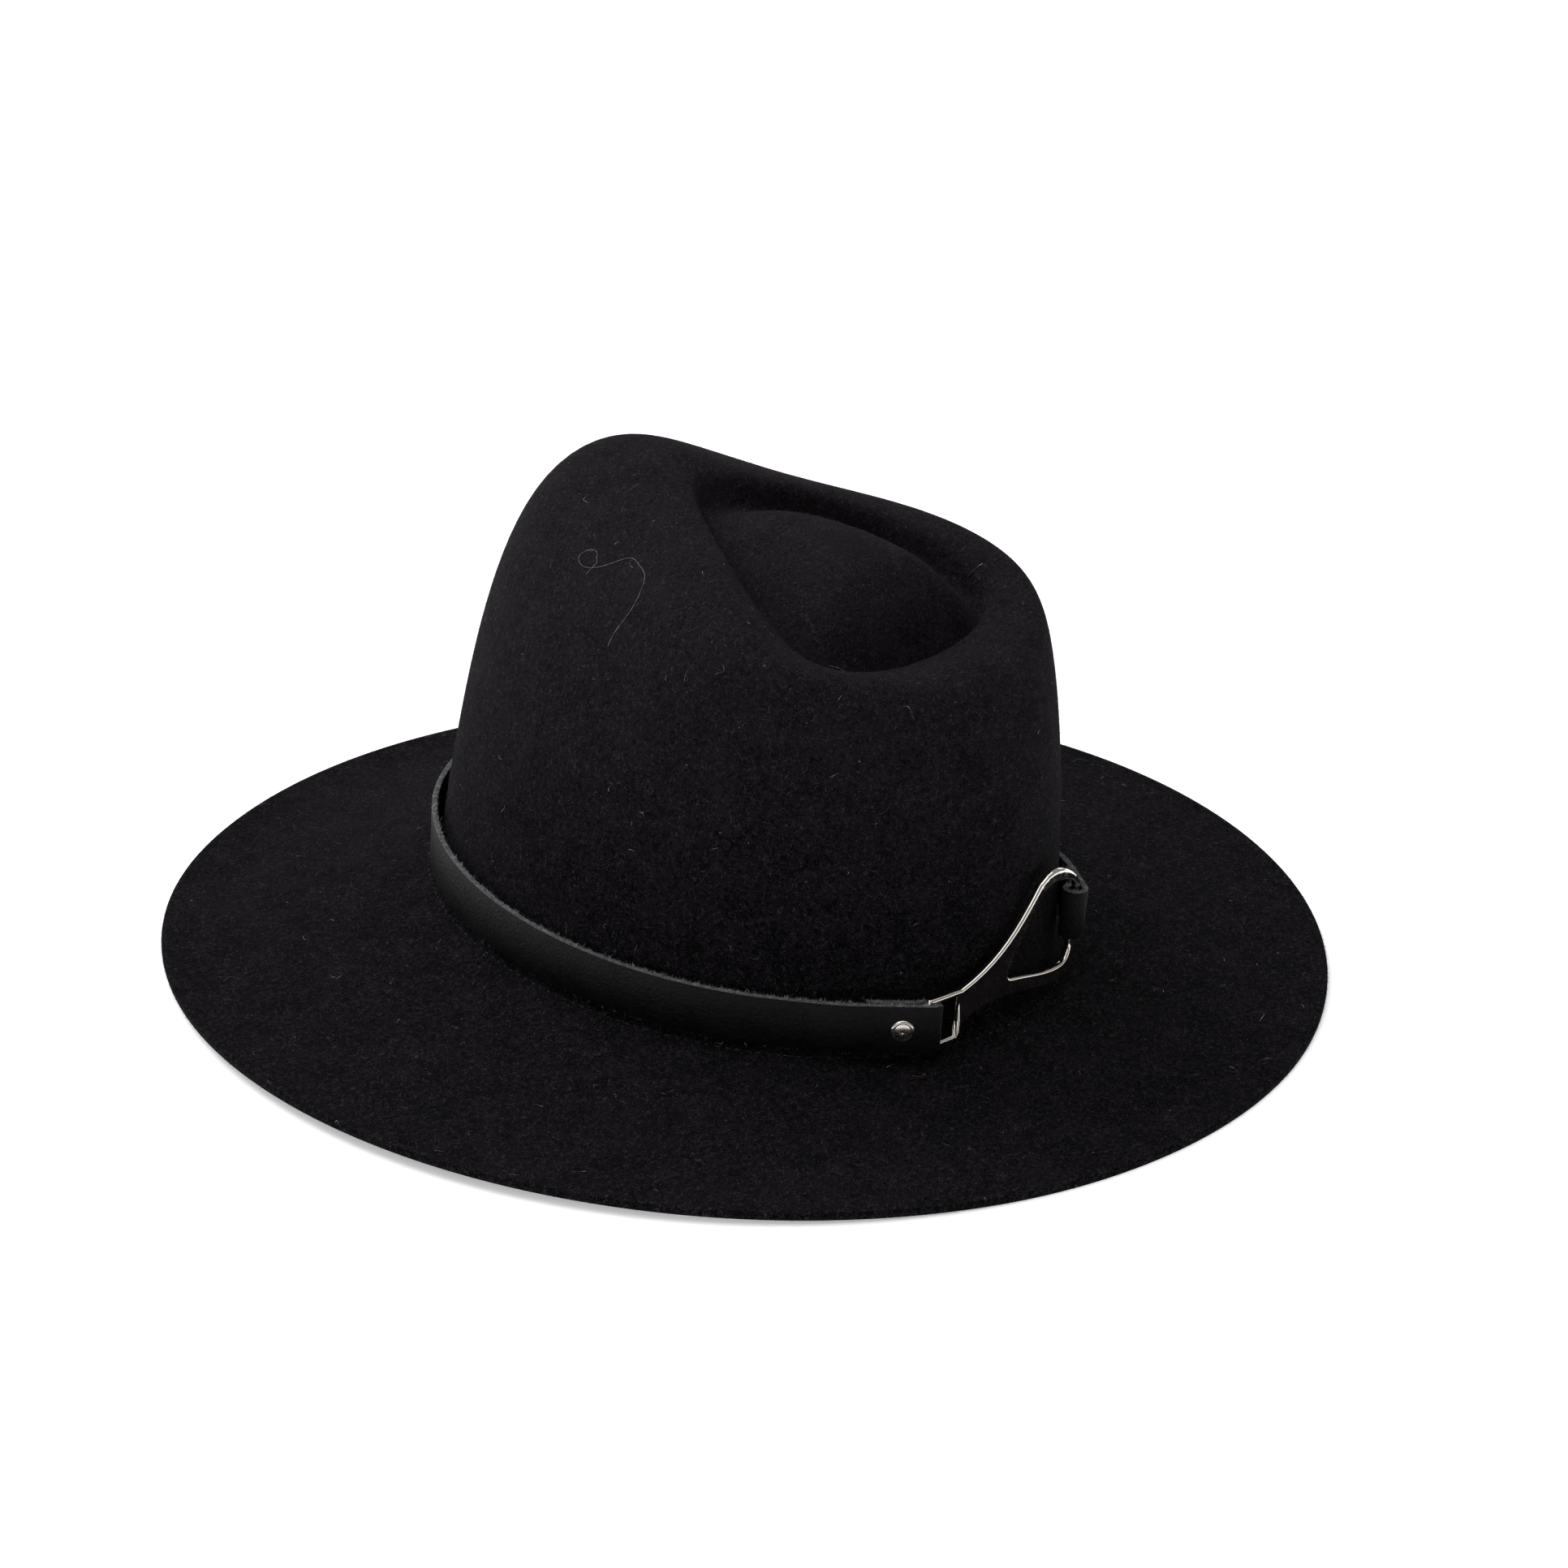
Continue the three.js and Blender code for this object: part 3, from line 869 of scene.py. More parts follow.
@dataclass(frozen=True)
class HookArc:
    """The arc in plan that the hook's plate is bent along. Lengths in millimetres.

    Attributes:
        touch: angle round the crown where the arc comes nearest to it, in degrees.
        radius: the arc's radius.
        clearance: from the crown's foot to the middle of the plate, at the touch.
        thickness: the plate's.
    """

    touch: float = 183.0
    radius: float = 170.0
    clearance: float = 1.9
    thickness: float = 2.4

    def axis(self) -> tuple[Vector, float]:
        """Finds the bend's centre in plan, and the outward direction's angle at the touch.

        Returns:
            The centre in metres, and the angle in radians.
        """
        angle = math.radians(self.touch)
        a, b = ROOT_HALF_WIDTH, ROOT_HALF_LENGTH
        point = Vector((a * math.sin(angle), -b * math.cos(angle), 0.0))
        outward = Vector((math.sin(angle) / a, -math.cos(angle) / b, 0.0)).normalized()
        centre = point + outward * (self.clearance - self.radius) * MM
        return centre, math.atan2(outward.y, outward.x)

    def at(self, along: float) -> Vector:
        """Finds a place on the arc.

        Args:
            along: length along the arc, in millimetres.

        Returns:
            The point, in metres.
        """
        centre, start = self.axis()
        turn = start + along / self.radius
        return centre + Vector((math.cos(turn), math.sin(turn), 0.0)) * self.radius * MM


@dataclass
class LeatherStrap:
    """The strap: a leather ribbon swept along its route round the crown and the hook's bars.

    Lengths are in millimetres.

    Attributes:
        mid_height: height of the middle line over the crown's foot.
        offset: from the crown's foot to the middle line, outward.
        gap: between the leather and what it is folded round.
        flap: length of the turned-back flap, from the bar.
        past_flap: how much longer than the flap the straight stretch behind the bar is.
        closing: length over which the flap closes on the strap.
        gather: degrees of the fold where the gathering starts, and over which it grows.
        section: shares of the half thickness, outward, and of the half height, upward.
        cut_face_rise: a face that faces up or down more than this is a cut edge.
    """

    arc: HookArc
    left: StrapEnd = StrapEnd(1, 131.0, 137.0, 11.9, 0.0, -37.8, 1.2, 6.3)
    right: StrapEnd = StrapEnd(-1, 240.0, 50.0, 24.6, 0.2, 30.8, 1.4, 8.0)
    steps: StrapSteps = StrapSteps()
    thickness: float = 1.8
    half_height: float = 8.0
    mid_height: float = 10.6
    offset: float = 1.7
    gap: float = 0.3
    flap: float = 19.0
    past_flap: float = 1.0
    closing: float = 5.4
    gather: tuple[float, float] = (-50.0, 55.0)
    section: tuple[tuple[float, float], ...] = (
        (1.0, -0.93), (1.0, -0.5), (1.0, 0.0), (1.0, 0.5), (1.0, 0.93), (0.86, 0.985),
        (0.5, 1.0), (-0.5, 1.0), (-1.0, 0.985), (-1.0, 0.0), (-1.0, -0.985), (-0.5, -1.0),
        (0.5, -1.0), (0.86, -0.985),
    )
    cut_face_rise: float = 0.6
    leather: LeatherFinish = LeatherFinish()
    raw: RawEdgeFinish = RawEdgeFinish()
    # Undyed fibre torn by the knife: pale hairs that fray the cut edges
    torn: FibreFinish = FibreFinish("torn_leather_fibre", "48494a", "aeb0b2")
    fuzz: EdgeFuzz = EdgeFuzz()

    def on_crown(self, degrees: float) -> Vector:
        """Finds the strap's middle line round the crown, in the crown's own frame.

        Args:
            degrees: angle round the crown.

        Returns:
            The point, in metres.
        """
        angle = math.radians(degrees)
        a = ROOT_HALF_WIDTH + self.offset * MM
        b = ROOT_HALF_LENGTH + self.offset * MM
        return Vector((a * math.sin(angle), -b * math.cos(angle), self.mid_height * MM))

    def end_frame(self, end: StrapEnd) -> tuple[Vector, Vector, Vector, float]:
        """Works out the frame of one folded end.

        Args:
            end: the end.

        Returns:
            The bar's middle, the directions ahead and inward, and the fold's radius in metres.
        """
        bar = self.arc.at(end.bar)
        bar.z = end.mid * MM
        heading = math.radians(end.toward)
        ahead = Vector((math.cos(heading), math.sin(heading), 0.0))
        inward = Vector((-ahead.y, ahead.x, 0.0)) * end.side
        reach = math.hypot(end.bar_half, self.arc.thickness / 2) + self.gap + self.thickness / 2
        return bar, ahead, inward, reach * MM

    def end_place(self, end: StrapEnd, x: float, y: float) -> Vector:
        """Turns x ahead of an end's bar and y inward, in metres, into a point."""
        bar, ahead, inward, _ = self.end_frame(end)
        return bar + ahead * x + inward * y + UP * (end.fall * min(0.0, x))

    def bend_away(self, end: StrapEnd) -> list[tuple[Vector, float]]:
        """Leads one end off the crown in a smooth bend, then straight to its bar.

        Args:
            end: the end.

        Returns:
            Points of the middle line in metres, each with its half height in millimetres.
        """
        _, _, _, radius = self.end_frame(end)
        start = self.on_crown(end.leave)
        leaving = (self.on_crown(end.leave + end.side) - start).normalized()
        straight = (self.flap + self.past_flap) * MM
        join = self.end_place(end, -straight, -radius)
        reach = (join - start).length / 3
        handles = (start + leaving * reach, self.end_place(end, -straight - reach, -radius))
        places = []
        for k in range(self.steps.bend):
            t = k / self.steps.bend
            places.append(
                start * (1 - t) ** 3
                + handles[0] * 3 * t * (1 - t) ** 2
                + handles[1] * 3 * t**2 * (1 - t)
                + join * t**3
            )
        for k in range(self.steps.straight):
            x = -straight * (1 - k / self.steps.straight)
            places.append(self.end_place(end, x, -radius))
        return [(place, self.half_height) for place in places]

    def fold_back(self, end: StrapEnd) -> list[tuple[Vector, float]]:
        """Takes one end round its bar, gathered to fit, and back along its own inner side.

        Args:
            end: the end.

        Returns:
            Points of the middle line in metres, each with its half height in millimetres.
        """
        _, _, _, radius = self.end_frame(end)
        gather_from, gather_over = self.gather
        route = []
        for k in range(self.steps.fold + 1):
            turn = math.pi * (k / self.steps.fold - 0.5)
            gathered = (math.degrees(turn) - gather_from) / gather_over
            gathered = min(1.0, max(0.0, gathered))
            half = self.half_height + (end.pinch - self.half_height) * gathered
            place = self.end_place(end, radius * math.cos(turn), radius * math.sin(turn))
            route.append((place, half))
        closed = -radius + (self.thickness + self.gap) * MM
        for k in range(1, self.steps.close + 1):
            share = k / self.steps.close
            eased = share * share * (3 - 2 * share)
            half = end.pinch + (self.half_height - end.pinch) * share
            y = radius + (closed - radius) * eased
            route.append((self.end_place(end, -self.closing * MM * share, y), half))
        for k in range(1, self.steps.flat + 1):
            x = self.closing + (self.flap - self.closing) * k / self.steps.flat
            route.append((self.end_place(end, -x * MM, closed), self.half_height))
        return route

    def route(self) -> list[tuple[Vector, float]]:
        """Lays out the whole strap, from one flap's tip to the other's.

        Returns:
            Points of the middle line in metres, each with its half height in millimetres.
        """
        first, last = self.left.leave, self.right.leave - 360.0
        front = []
        for k in range(1, self.steps.around):
            degrees = first + (last - first) * k / self.steps.around
            front.append((self.on_crown(degrees), self.half_height))
        ends = [self.bend_away(end) + self.fold_back(end) for end in (self.left, self.right)]
        return ends[0][::-1] + front + ends[1]

    def build(self) -> bpy.types.Mesh:
        """Sweeps the strap's section along its route.

        Returns:
            The strap, its cut edges in the second material.
        """
        stations = self.route()
        frames = []
        for k, (place, half) in enumerate(stations):
            ahead = stations[min(k + 1, len(stations) - 1)][0]
            behind = stations[max(k - 1, 0)][0]
            out = (ahead - behind).normalized().cross(UP).normalized()
            thick = self.thickness / 2 * MM
            frames.append(basis((out * thick, UP.cross(out) * thick, UP * (half * MM)), place))
        shape = bmesh.new()
        ring = [shape.verts.new(frames[0] @ Vector((u, 0.0, v))) for u, v in self.section]
        shape.faces.new(ring)
        edges = list(shape.edges)
        for previous, current in zip(frames, frames[1:]):
            grown = bmesh.ops.extrude_edge_only(shape, edges=edges)["geom"]
            fresh = [g for g in grown if isinstance(g, bmesh.types.BMVert)]
            new = set(fresh)
            edges = [
                g for g in grown if isinstance(g, bmesh.types.BMEdge) and set(g.verts) <= new]
            bmesh.ops.transform(shape, matrix=current @ previous.inverted(), verts=fresh)
        bmesh.ops.contextual_create(shape, geom=edges)
        bmesh.ops.recalc_face_normals(shape, faces=shape.faces)
        for face in shape.faces:
            face.material_index = int(abs(face.normal.z) > self.cut_face_rise)
        bmesh.ops.transform(shape, matrix=CROWN, verts=shape.verts)
        return mesh_of(shape, "strap")

    def edge_fuzz(self) -> bpy.types.Mesh:
        """Frays the strap's cut edges with short torn fibres.

        Returns:
            The fibres as one mesh.
        """
        fuzz = self.fuzz
        rng = np.random.default_rng(fuzz.seed)
        stations = self.route()
        places = np.array([place for place, _ in stations])
        halves = np.array([half for _, half in stations]) * MM
        runs = np.gradient(places, axis=0)
        steps = np.linalg.norm(runs, axis=1, keepdims=True)
        runs /= steps
        outs = unit(np.cross(runs, UP))
        column = (fuzz.count, 1)
        k = rng.choice(len(places), size=fuzz.count, p=steps[:, 0] / steps.sum())
        edge = rng.choice((1.0, 1.0, 1.0, -1.0), size=column)
        along = runs[k] * steps[k] * rng.uniform(-0.5, 0.5, column)
        side = outs[k] * self.thickness * MM * rng.uniform(*fuzz.over, column)
        upright = np.array(UP) * edge
        root = places[k] + along + side + upright * (halves[k][:, None] - fuzz.sunk * MM)
        lean = runs[k] * rng.normal(0.0, fuzz.along, column)
        lean += outs[k] * rng.normal(*fuzz.outward, column)
        reach = rng.gamma(*fuzz.tips, column).clip(*fuzz.length) * MM
        middle = root + (lean * 0.4 + upright) * reach * 0.5
        tip = root + (lean + upright * 0.8) * reach
        spines = np.stack([root, middle, tip], axis=1)
        spines = spines @ np.array(CROWN.to_3x3()).T + np.array(CROWN.translation)
        across = unit(np.cross(upright, lean)) * fuzz.half_width * MM
        return strand_mesh("strap_edge_fuzz", spines, across)

    def dress(self) -> None:
        """Places the strap in grain leather with raw cut edges, and the fuzz on those edges."""
        materials = [self.leather.material(), self.raw.material()]
        place_piece("strap", self.build(), materials, ("leather_strap",))
        place_piece("strap_edge_fuzz", self.edge_fuzz(), [self.torn.material()])


@dataclass
class Hook:
    """The cast and polished hook, its edges rounded over. Lengths in millimetres."""

    arc: HookArc
    rounding: float = 0.85
    half_length: float = 42.0
    bend_step: float = 1.2
    # Share of the half thickness above which a vertex belongs to the plate's outer face
    face_share: float = 0.8
    weld: float = 0.01
    finish: NickelFinish = NickelFinish()

    def flatten(self, shape: bmesh.types.BMesh) -> None:
        """Unrolls the plate: x along the arc, y its height, z its thickness.

        Args:
            shape: the plate as it lies on the hat.
        """
        centre, start = self.arc.axis()
        back = CROWN.inverted()
        for vertex in shape.verts:
            local = back @ vertex.co - centre
            turn = (math.atan2(local.y, local.x) - start + math.pi) % math.tau - math.pi
            radius = math.hypot(local.x, local.y)
            reach = self.arc.radius * MM
            vertex.co = Vector((turn * reach, local.z + centre.z, radius - reach))

    def outlines(self) -> list[list[Vector]]:
        """Reads the plate's outline and its two openings off the CAD plate.

        Returns:
            Closed loops of flat points.
        """
        shape = merged_copy("hook_plate")
        self.flatten(shape)
        face_height = self.arc.thickness / 2 * MM * self.face_share
        rim = [
            e for e in shape.edges
            if all(v.co.z > face_height for v in e.verts)
            and sum(all(v.co.z > face_height for v in f.verts) for f in e.link_faces) == 1
        ]
        links: dict = {}
        for edge in rim:
            for vertex in edge.verts:
                links.setdefault(vertex, []).append(edge)
        loops = []
        left = dict.fromkeys(rim)
        while left:
            edge = next(iter(left))
            del left[edge]
            first, vertex = edge.verts
            loop = [first.co.copy()]
            while vertex != first:
                loop.append(vertex.co.copy())
                edge = next(e for e in links[vertex] if e in left)
                del left[edge]
                vertex = edge.other_vert(vertex)
            loops.append(loop)
        shape.free()
        return loops

    def build(self) -> bpy.types.Mesh:
        """Fills the outlines with rounded edges and bends the plate along its arc.

        Returns:
            The hook.
        """
        curve = bpy.data.curves.new("hook_outline", "CURVE")
        curve.dimensions = "2D"
        curve.fill_mode = "BOTH"
        curve.extrude = (self.arc.thickness / 2 - self.rounding) * MM
        curve.bevel_depth = self.rounding * MM
        curve.bevel_resolution = 4
        curve.offset = -self.rounding * MM
        for loop in self.outlines():
            spline = curve.splines.new("POLY")
            spline.points.add(len(loop) - 1)
            for point, place in zip(spline.points, loop):
                point.co = (place.x, place.y, 0.0, 1.0)
            spline.use_cyclic_u = True
        shape = bmesh.new()
        shape.from_mesh(settled_mesh("hook_flat", curve))
        bmesh.ops.remove_doubles(shape, verts=shape.verts, dist=self.weld * MM)
        steps = int(self.half_length / self.bend_step)
        for k in range(-steps, steps + 1):
            bmesh.ops.bisect_plane(
                shape, geom=[*shape.verts, *shape.edges, *shape.faces], dist=1e-7,
                plane_co=(k * self.bend_step * MM, 0.0, 0.0), plane_no=(1.0, 0.0, 0.0))
        centre, start = self.arc.axis()
        for vertex in shape.verts:
            turn = start + vertex.co.x / (self.arc.radius * MM)
            radius = self.arc.radius * MM + vertex.co.z
            height = vertex.co.y
            vertex.co = centre + Vector((math.cos(turn) * radius, math.sin(turn) * radius, height))
        bmesh.ops.transform(shape, matrix=CROWN, verts=shape.verts)
        bmesh.ops.recalc_face_normals(shape, faces=shape.faces)
        return mesh_of(shape, "hook")

    def dress(self) -> bpy.types.Object:
        """Places the hook in polished nickel."""
        return place_piece(
            "hook", self.build(), [self.finish.material()], ("hook_plate",))


@dataclass
class Rivet:
    """A tubular rivet: rolled rim, shallow dome, the dimple of the setting tool, post and head.

    Lengths in millimetres. The table of the cap gives radius, and depth below the cap's top.
    """

    node: str
    outward: Vector
    cap: tuple[tuple[float, float], ...] = (
        (0.0, 0.12), (0.25, 0.1), (0.5, 0.01), (1.0, 0.02), (1.8, 0.12), (2.4, 0.26),
        (2.62, 0.36), (2.78, 0.32), (3.0, 0.34), (3.3, 0.5), (3.5, 0.7), (3.6, 0.95), (3.5, 1.1),
    )
    length: float = 5.3
    post_radius: float = 1.4
    head_radius: float = 2.6
    head_height: float = 0.5
    spin_steps: int = 48
    # Setting burnishes the cap, so its shine is softer than the hook's
    finish: NickelFinish = NickelFinish(name="burnished_nickel_rivet", shine=0.16, wear=0.28)

    def build(self) -> bpy.types.Mesh:
        """Spins the cap, post and back head about the rivet's axis.

        Returns:
            The rivet.
        """
        low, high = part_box(self.node)
        middle = (low + high) / 2
        top = self.length / 2
        _, cap_depth = self.cap[-1]
        head_top = self.head_height - top
        profile = [(radius, top - depth) for radius, depth in self.cap]
        profile += [
            (self.post_radius, top - cap_depth), (self.post_radius, head_top),
            (self.head_radius, head_top), (self.head_radius, -top), (0.0, -top),
        ]
        shape = bmesh.new()
        verts = [shape.verts.new((r * MM, 0.0, h * MM)) for r, h in profile]
        edges = [shape.edges.new(pair) for pair in zip(verts, verts[1:])]
        bmesh.ops.spin(
            shape, geom=verts + edges, cent=(0, 0, 0), axis=(0, 0, 1), angle=math.tau,
            steps=self.spin_steps, use_merge=True)
        bmesh.ops.remove_doubles(shape, verts=shape.verts, dist=0.002 * MM)
        bmesh.ops.recalc_face_normals(shape, faces=shape.faces)
        direction = (CROWN.to_3x3() @ self.outward).normalized()
        turn = UP.rotation_difference(direction).to_matrix().to_4x4()
        bmesh.ops.transform(shape, matrix=Matrix.Translation(middle) @ turn, verts=shape.verts)
        return mesh_of(shape, self.node)

    def dress(self) -> bpy.types.Object:
        """Places the rivet in burnished nickel."""
        name = self.node + "_cap"
        return place_piece(
            name, self.build(), [self.finish.material()], (self.node,))


@dataclass(frozen=True)
class NapPatch:
    """Raised fibres on one stretch of the felt.

    Attributes:
        name: the piece's name.
        count: how many fibres.
        rise: least and most rise over the felt, as a share of the length.
        length: shortest and longest, in millimetres.
    """

    name: str
    count: int
    rise: tuple[float, float] = (0.12, 0.5)
    length: tuple[float, float] = (0.7, 1.9)


@dataclass
class Nap:
    """Short fibres raised by brushing the felt, and loose lint on it. Lengths in millimetres."""

    shell: FeltShell
    crown: NapPatch = NapPatch("nap_crown", 52000)
    brim: NapPatch = NapPatch("nap_brim", 52000)
    edge: NapPatch = NapPatch("nap_edge", 9000, (0.3, 0.9), (0.4, 1.1))
    half_width: float = 0.035
    curl: float = 0.6
    tip_curl: float = 0.7
    middle_rise: float = 1.3
    # The crown ends at this share of its root oval, and the cut edge starts at this share
    # of the brim's oval
    crown_share: float = 1.02
    edge_share: float = 0.992
    # Wool raised by brushing: dark hairs, paler where they catch the light
    wool: FibreFinish = FibreFinish("raised_wool_nap", "0c0b0c", "4f4b50")
    lint_count: int = 420
    lint_length: tuple[float, float] = (0.4, 6.0)
    lint_more: float = 1.3
    lint_bend: float = 0.5
    lint_bow: float = 0.6
    lint_twist: float = 0.4
    lint_rise: float = 0.12
    lint_half_width: float = 0.055
    lint_lift: float = 0.25
    lint_points: int = 7
    # Household lint: pale warm flecks and curls
    dust: FibreFinish = FibreFinish("loose_lint", "4a4644", "b8b0a6")
    seed: int = 11

    def surface(self) -> dict[str, np.ndarray]:
        """Reads the outer felt's triangles as arrays.

        Returns:
            Corners, normals and areas of the outer triangles.
        """
        mesh = self.shell.mesh
        mesh.calc_loop_triangles()
        count = len(mesh.loop_triangles)
        points = np.zeros(len(mesh.vertices) * 3)
        mesh.vertices.foreach_get("co", points)
        points = points.reshape(-1, 3)
        index = np.zeros(count * 3, np.int64)
        mesh.loop_triangles.foreach_get("vertices", index)
        side = np.zeros(len(mesh.polygons), np.int64)
        mesh.polygons.foreach_get("material_index", side)
        owner = np.zeros(count, np.int64)
        mesh.loop_triangles.foreach_get("polygon_index", owner)
        corners = points[index.reshape(-1, 3)][side[owner] == Side.OUTER.value]
        cross = np.cross(corners[:, 1] - corners[:, 0], corners[:, 2] - corners[:, 0])
        size = np.linalg.norm(cross, axis=1)
        return {"corners": corners, "normal": cross / size[:, None], "area": size / 2}

    def scatter(
        self, skin: dict[str, np.ndarray], weight: np.ndarray, count: int,
        rng: np.random.Generator,
    ) -> tuple[np.ndarray, np.ndarray]:
        """Picks random points on the felt.

        Args:
            skin: the felt's triangles.
            weight: how likely each triangle is.
            count: how many points.
            rng: seeded random numbers.

        Returns:
            Points and normals.
        """
        pick = rng.choice(len(weight), size=count, p=weight / weight.sum())
        a, b = rng.random((2, count, 1))
        flip = a + b > 1
        a, b = np.where(flip, 1 - a, a), np.where(flip, 1 - b, b)
        corner = skin["corners"][pick]
        point = corner[:, 0] + a * (corner[:, 1] - corner[:, 0]) + b * (corner[:, 2] - corner[:, 0])
        return point, skin["normal"][pick]

    def fibres(
        self, patch: NapPatch, point: np.ndarray, normal: np.ndarray, rng: np.random.Generator
    ) -> bpy.types.Mesh:
        """Grows one short bent fibre from each point.

        Args:
            patch: the fibres' length and rise.
            point: roots.
            normal: the felt's normal at each root.
            rng: seeded random numbers.

        Returns:
            The fibres as one mesh.
        """
        column = (len(point), 1)
        lay = lie_on(normal, rng)
        side = np.cross(normal, lay)
        curl = side * rng.uniform(-self.curl, self.curl, column)
        reach = rng.uniform(*patch.length, column) * MM
        rise = rng.uniform(*patch.rise, column)
        middle = point + reach * 0.5 * (lay + normal * rise * self.middle_rise)
        tip = point + reach * (lay + curl * self.tip_curl + normal * rise)
        spines = np.stack([point, middle, tip], axis=1)
        return strand_mesh(patch.name, spines, side * self.half_width * MM)

    def lint(
        self, skin: dict[str, np.ndarray], rng: np.random.Generator
    ) -> bpy.types.Mesh:
        """Lays curly lint and flecks on the felt.

        Args:
            skin: the felt's triangles.
            rng: seeded random numbers.

        Returns:
            The lint as one mesh.
        """
        point, normal = self.scatter(skin, skin["area"], self.lint_count, rng)
        column = (len(point), 1)
        lay = lie_on(normal, rng)
        side = np.cross(normal, lay)
        shortest, longest = self.lint_length
        reach = (shortest + rng.exponential(self.lint_more, column)).clip(shortest, longest) * MM
        bend = rng.normal(0.0, self.lint_bend, column)
        spines = []
        for t in np.linspace(0.0, 1.0, self.lint_points):
            bow, twist = math.sin(math.pi * t), math.sin(math.tau * t)
            wave = bend * bow * self.lint_bow + bend * bend * twist * self.lint_twist
            raised = normal * (self.lint_lift * MM + reach * self.lint_rise * bow)
            spines.append(point + lay * reach * (t - 0.5) + side * reach * wave + raised)
        across = side * self.lint_half_width * MM
        return strand_mesh("lint", np.stack(spines, axis=1), across)

    def dress(self) -> None:
        """Places the nap, the fuzz along the brim's cut edge and the lint."""
        rng = np.random.default_rng(self.seed)
        skin = self.surface()
        x, y, _ = skin["corners"].mean(axis=1).T
        _, high = CAD_BOX
        on_edge = np.hypot(x / high.x, y / high.y) > self.edge_share
        on_crown = np.hypot(x / ROOT_HALF_WIDTH, y / ROOT_HALF_LENGTH) < self.crown_share
        patches = ((self.crown, on_crown), (self.brim, ~on_crown), (self.edge, on_edge))
        roots = [
            self.scatter(skin, skin["area"] * where, patch.count, rng) for patch, where in patches]
        wool = self.wool.material()
        for (patch, _), (point, normal) in zip(patches, roots):
            mesh = self.fibres(patch, point, normal, rng)
            place_piece(patch.name, mesh, [wool])
        place_piece("lint", self.lint(skin, rng), [self.dust.material()])


@dataclass
class LooseHair:
    """A long curly hair that lies on the crown's left side. Lengths in millimetres.

    The table of its curl gives the angle round the hat, in degrees, and the height.
    """

    shell: FeltShell
    radius: float = 0.06
    lift: float = 0.25
    # A grey hair: dull, and light against the black felt
    finish: FibreFinish = FibreFinish("grey_hair", "5e5a58", "8f8a86")
    curl: tuple[tuple[float, float], ...] = (
        (66.5, 130.2), (66.2, 132.6), (67.5, 133.2), (63.9, 134.2), (63.2, 135.1), (59.1, 135.5),
        (56.1, 133.0), (59.5, 131.4), (64.0, 131.0), (70.2, 132.9), (76.0, 136.6), (80.0, 137.6),
        (86.1, 136.8), (91.1, 136.3), (94.2, 134.8), (95.3, 129.7), (94.2, 126.5), (91.0, 120.0),
        (91.4, 117.7),
    )

    def build(self) -> bpy.types.Mesh:
        """Lays the hair on the felt as a thin tube.

        Returns:
            The hair.
        """
        curve = bpy.data.curves.new("loose_hair", "CURVE")
        curve.dimensions = "3D"
        curve.bevel_depth = self.radius * MM
        curve.bevel_resolution = 1
        curve.use_fill_caps = True
        curve.resolution_u = 6
        spline = curve.splines.new("NURBS")
        spline.points.add(len(self.curl) - 1)
        spline.use_endpoint_u = True
        for point, (degrees, height) in zip(spline.points, self.curl):
            place, normal = self.shell.beside(math.radians(degrees), height * MM)
            point.co = (*(place + normal * self.lift * MM), 1.0)
        return settled_mesh("loose_hair", curve)

    def dress(self) -> None:
        """Places the hair."""
        place_piece("loose_hair", self.build(), [self.finish.material()])


@dataclass
class BrimStitches:
    """Short stitches round the crown's foot, which hold the brim's inside. Lengths in mm."""

    shell: FeltShell
    outside: float = 2.7
    pitch: float = 3.0
    length: float = 1.4
    thick: float = 0.32
    lift_share: float = 0.25
    # Grey sewing thread, sunk in the felt, so that only its top catches the light
    finish: FibreFinish = FibreFinish("grey_sewing_thread", "1c1b1d", "39373b")

    def build(self) -> bpy.types.Mesh:
        """Sews a stitch at every pitch of an oval just outside the crown's foot.

        Returns:
            The stitches as one mesh.
        """
        a, b = ROOT_HALF_WIDTH + self.outside * MM, ROOT_HALF_LENGTH + self.outside * MM
        girth = math.pi * (3 * (a + b) - math.sqrt((3 * a + b) * (a + 3 * b)))
        count = round(girth / (self.pitch * MM))
        shape = bmesh.new()
        for k in range(count):
            angle = math.tau * k / count
            place, normal = self.shell.under(a * math.sin(angle), -b * math.cos(angle))
            run = Vector((a * math.cos(angle), b * math.sin(angle), 0.0))
            run = (run - normal * run.dot(normal)).normalized()
            side = normal.cross(run)
            half, thin = self.length / 2 * MM, self.thick / 2 * MM
            pose = basis(
                (run * half, side * thin, normal * thin),
                place + normal * (self.thick * self.lift_share * MM))
            bmesh.ops.create_uvsphere(shape, u_segments=8, v_segments=6, radius=1.0, matrix=pose)
        return mesh_of(shape, "brim_stitches")

    def dress(self) -> None:
        """Places the stitches in grey thread."""
        place_piece("brim_stitches", self.build(), [self.finish.material()])


@dataclass(frozen=True)
class Softbox:
    """A square soft light that looks at the hat. Lengths in metres."""

    name: str
    place: tuple[float, float, float]
    size: float
    watts: float
    aim_height: float = 0.08

    def build(self) -> None:
        """Adds the light, turned towards the crown."""
        light = bpy.data.lights.new(self.name, "AREA")
        light.shape = "SQUARE"
        light.size = self.size
        light.energy = self.watts
        lamp = bpy.data.objects.new(self.name, light)
        lamp.location = self.place
        aim = UP * self.aim_height - Vector(self.place)
        lamp.rotation_mode = "QUATERNION"
        lamp.rotation_quaternion = aim.to_track_quat("-Z", "Y")
        bpy.context.scene.collection.objects.link(lamp)


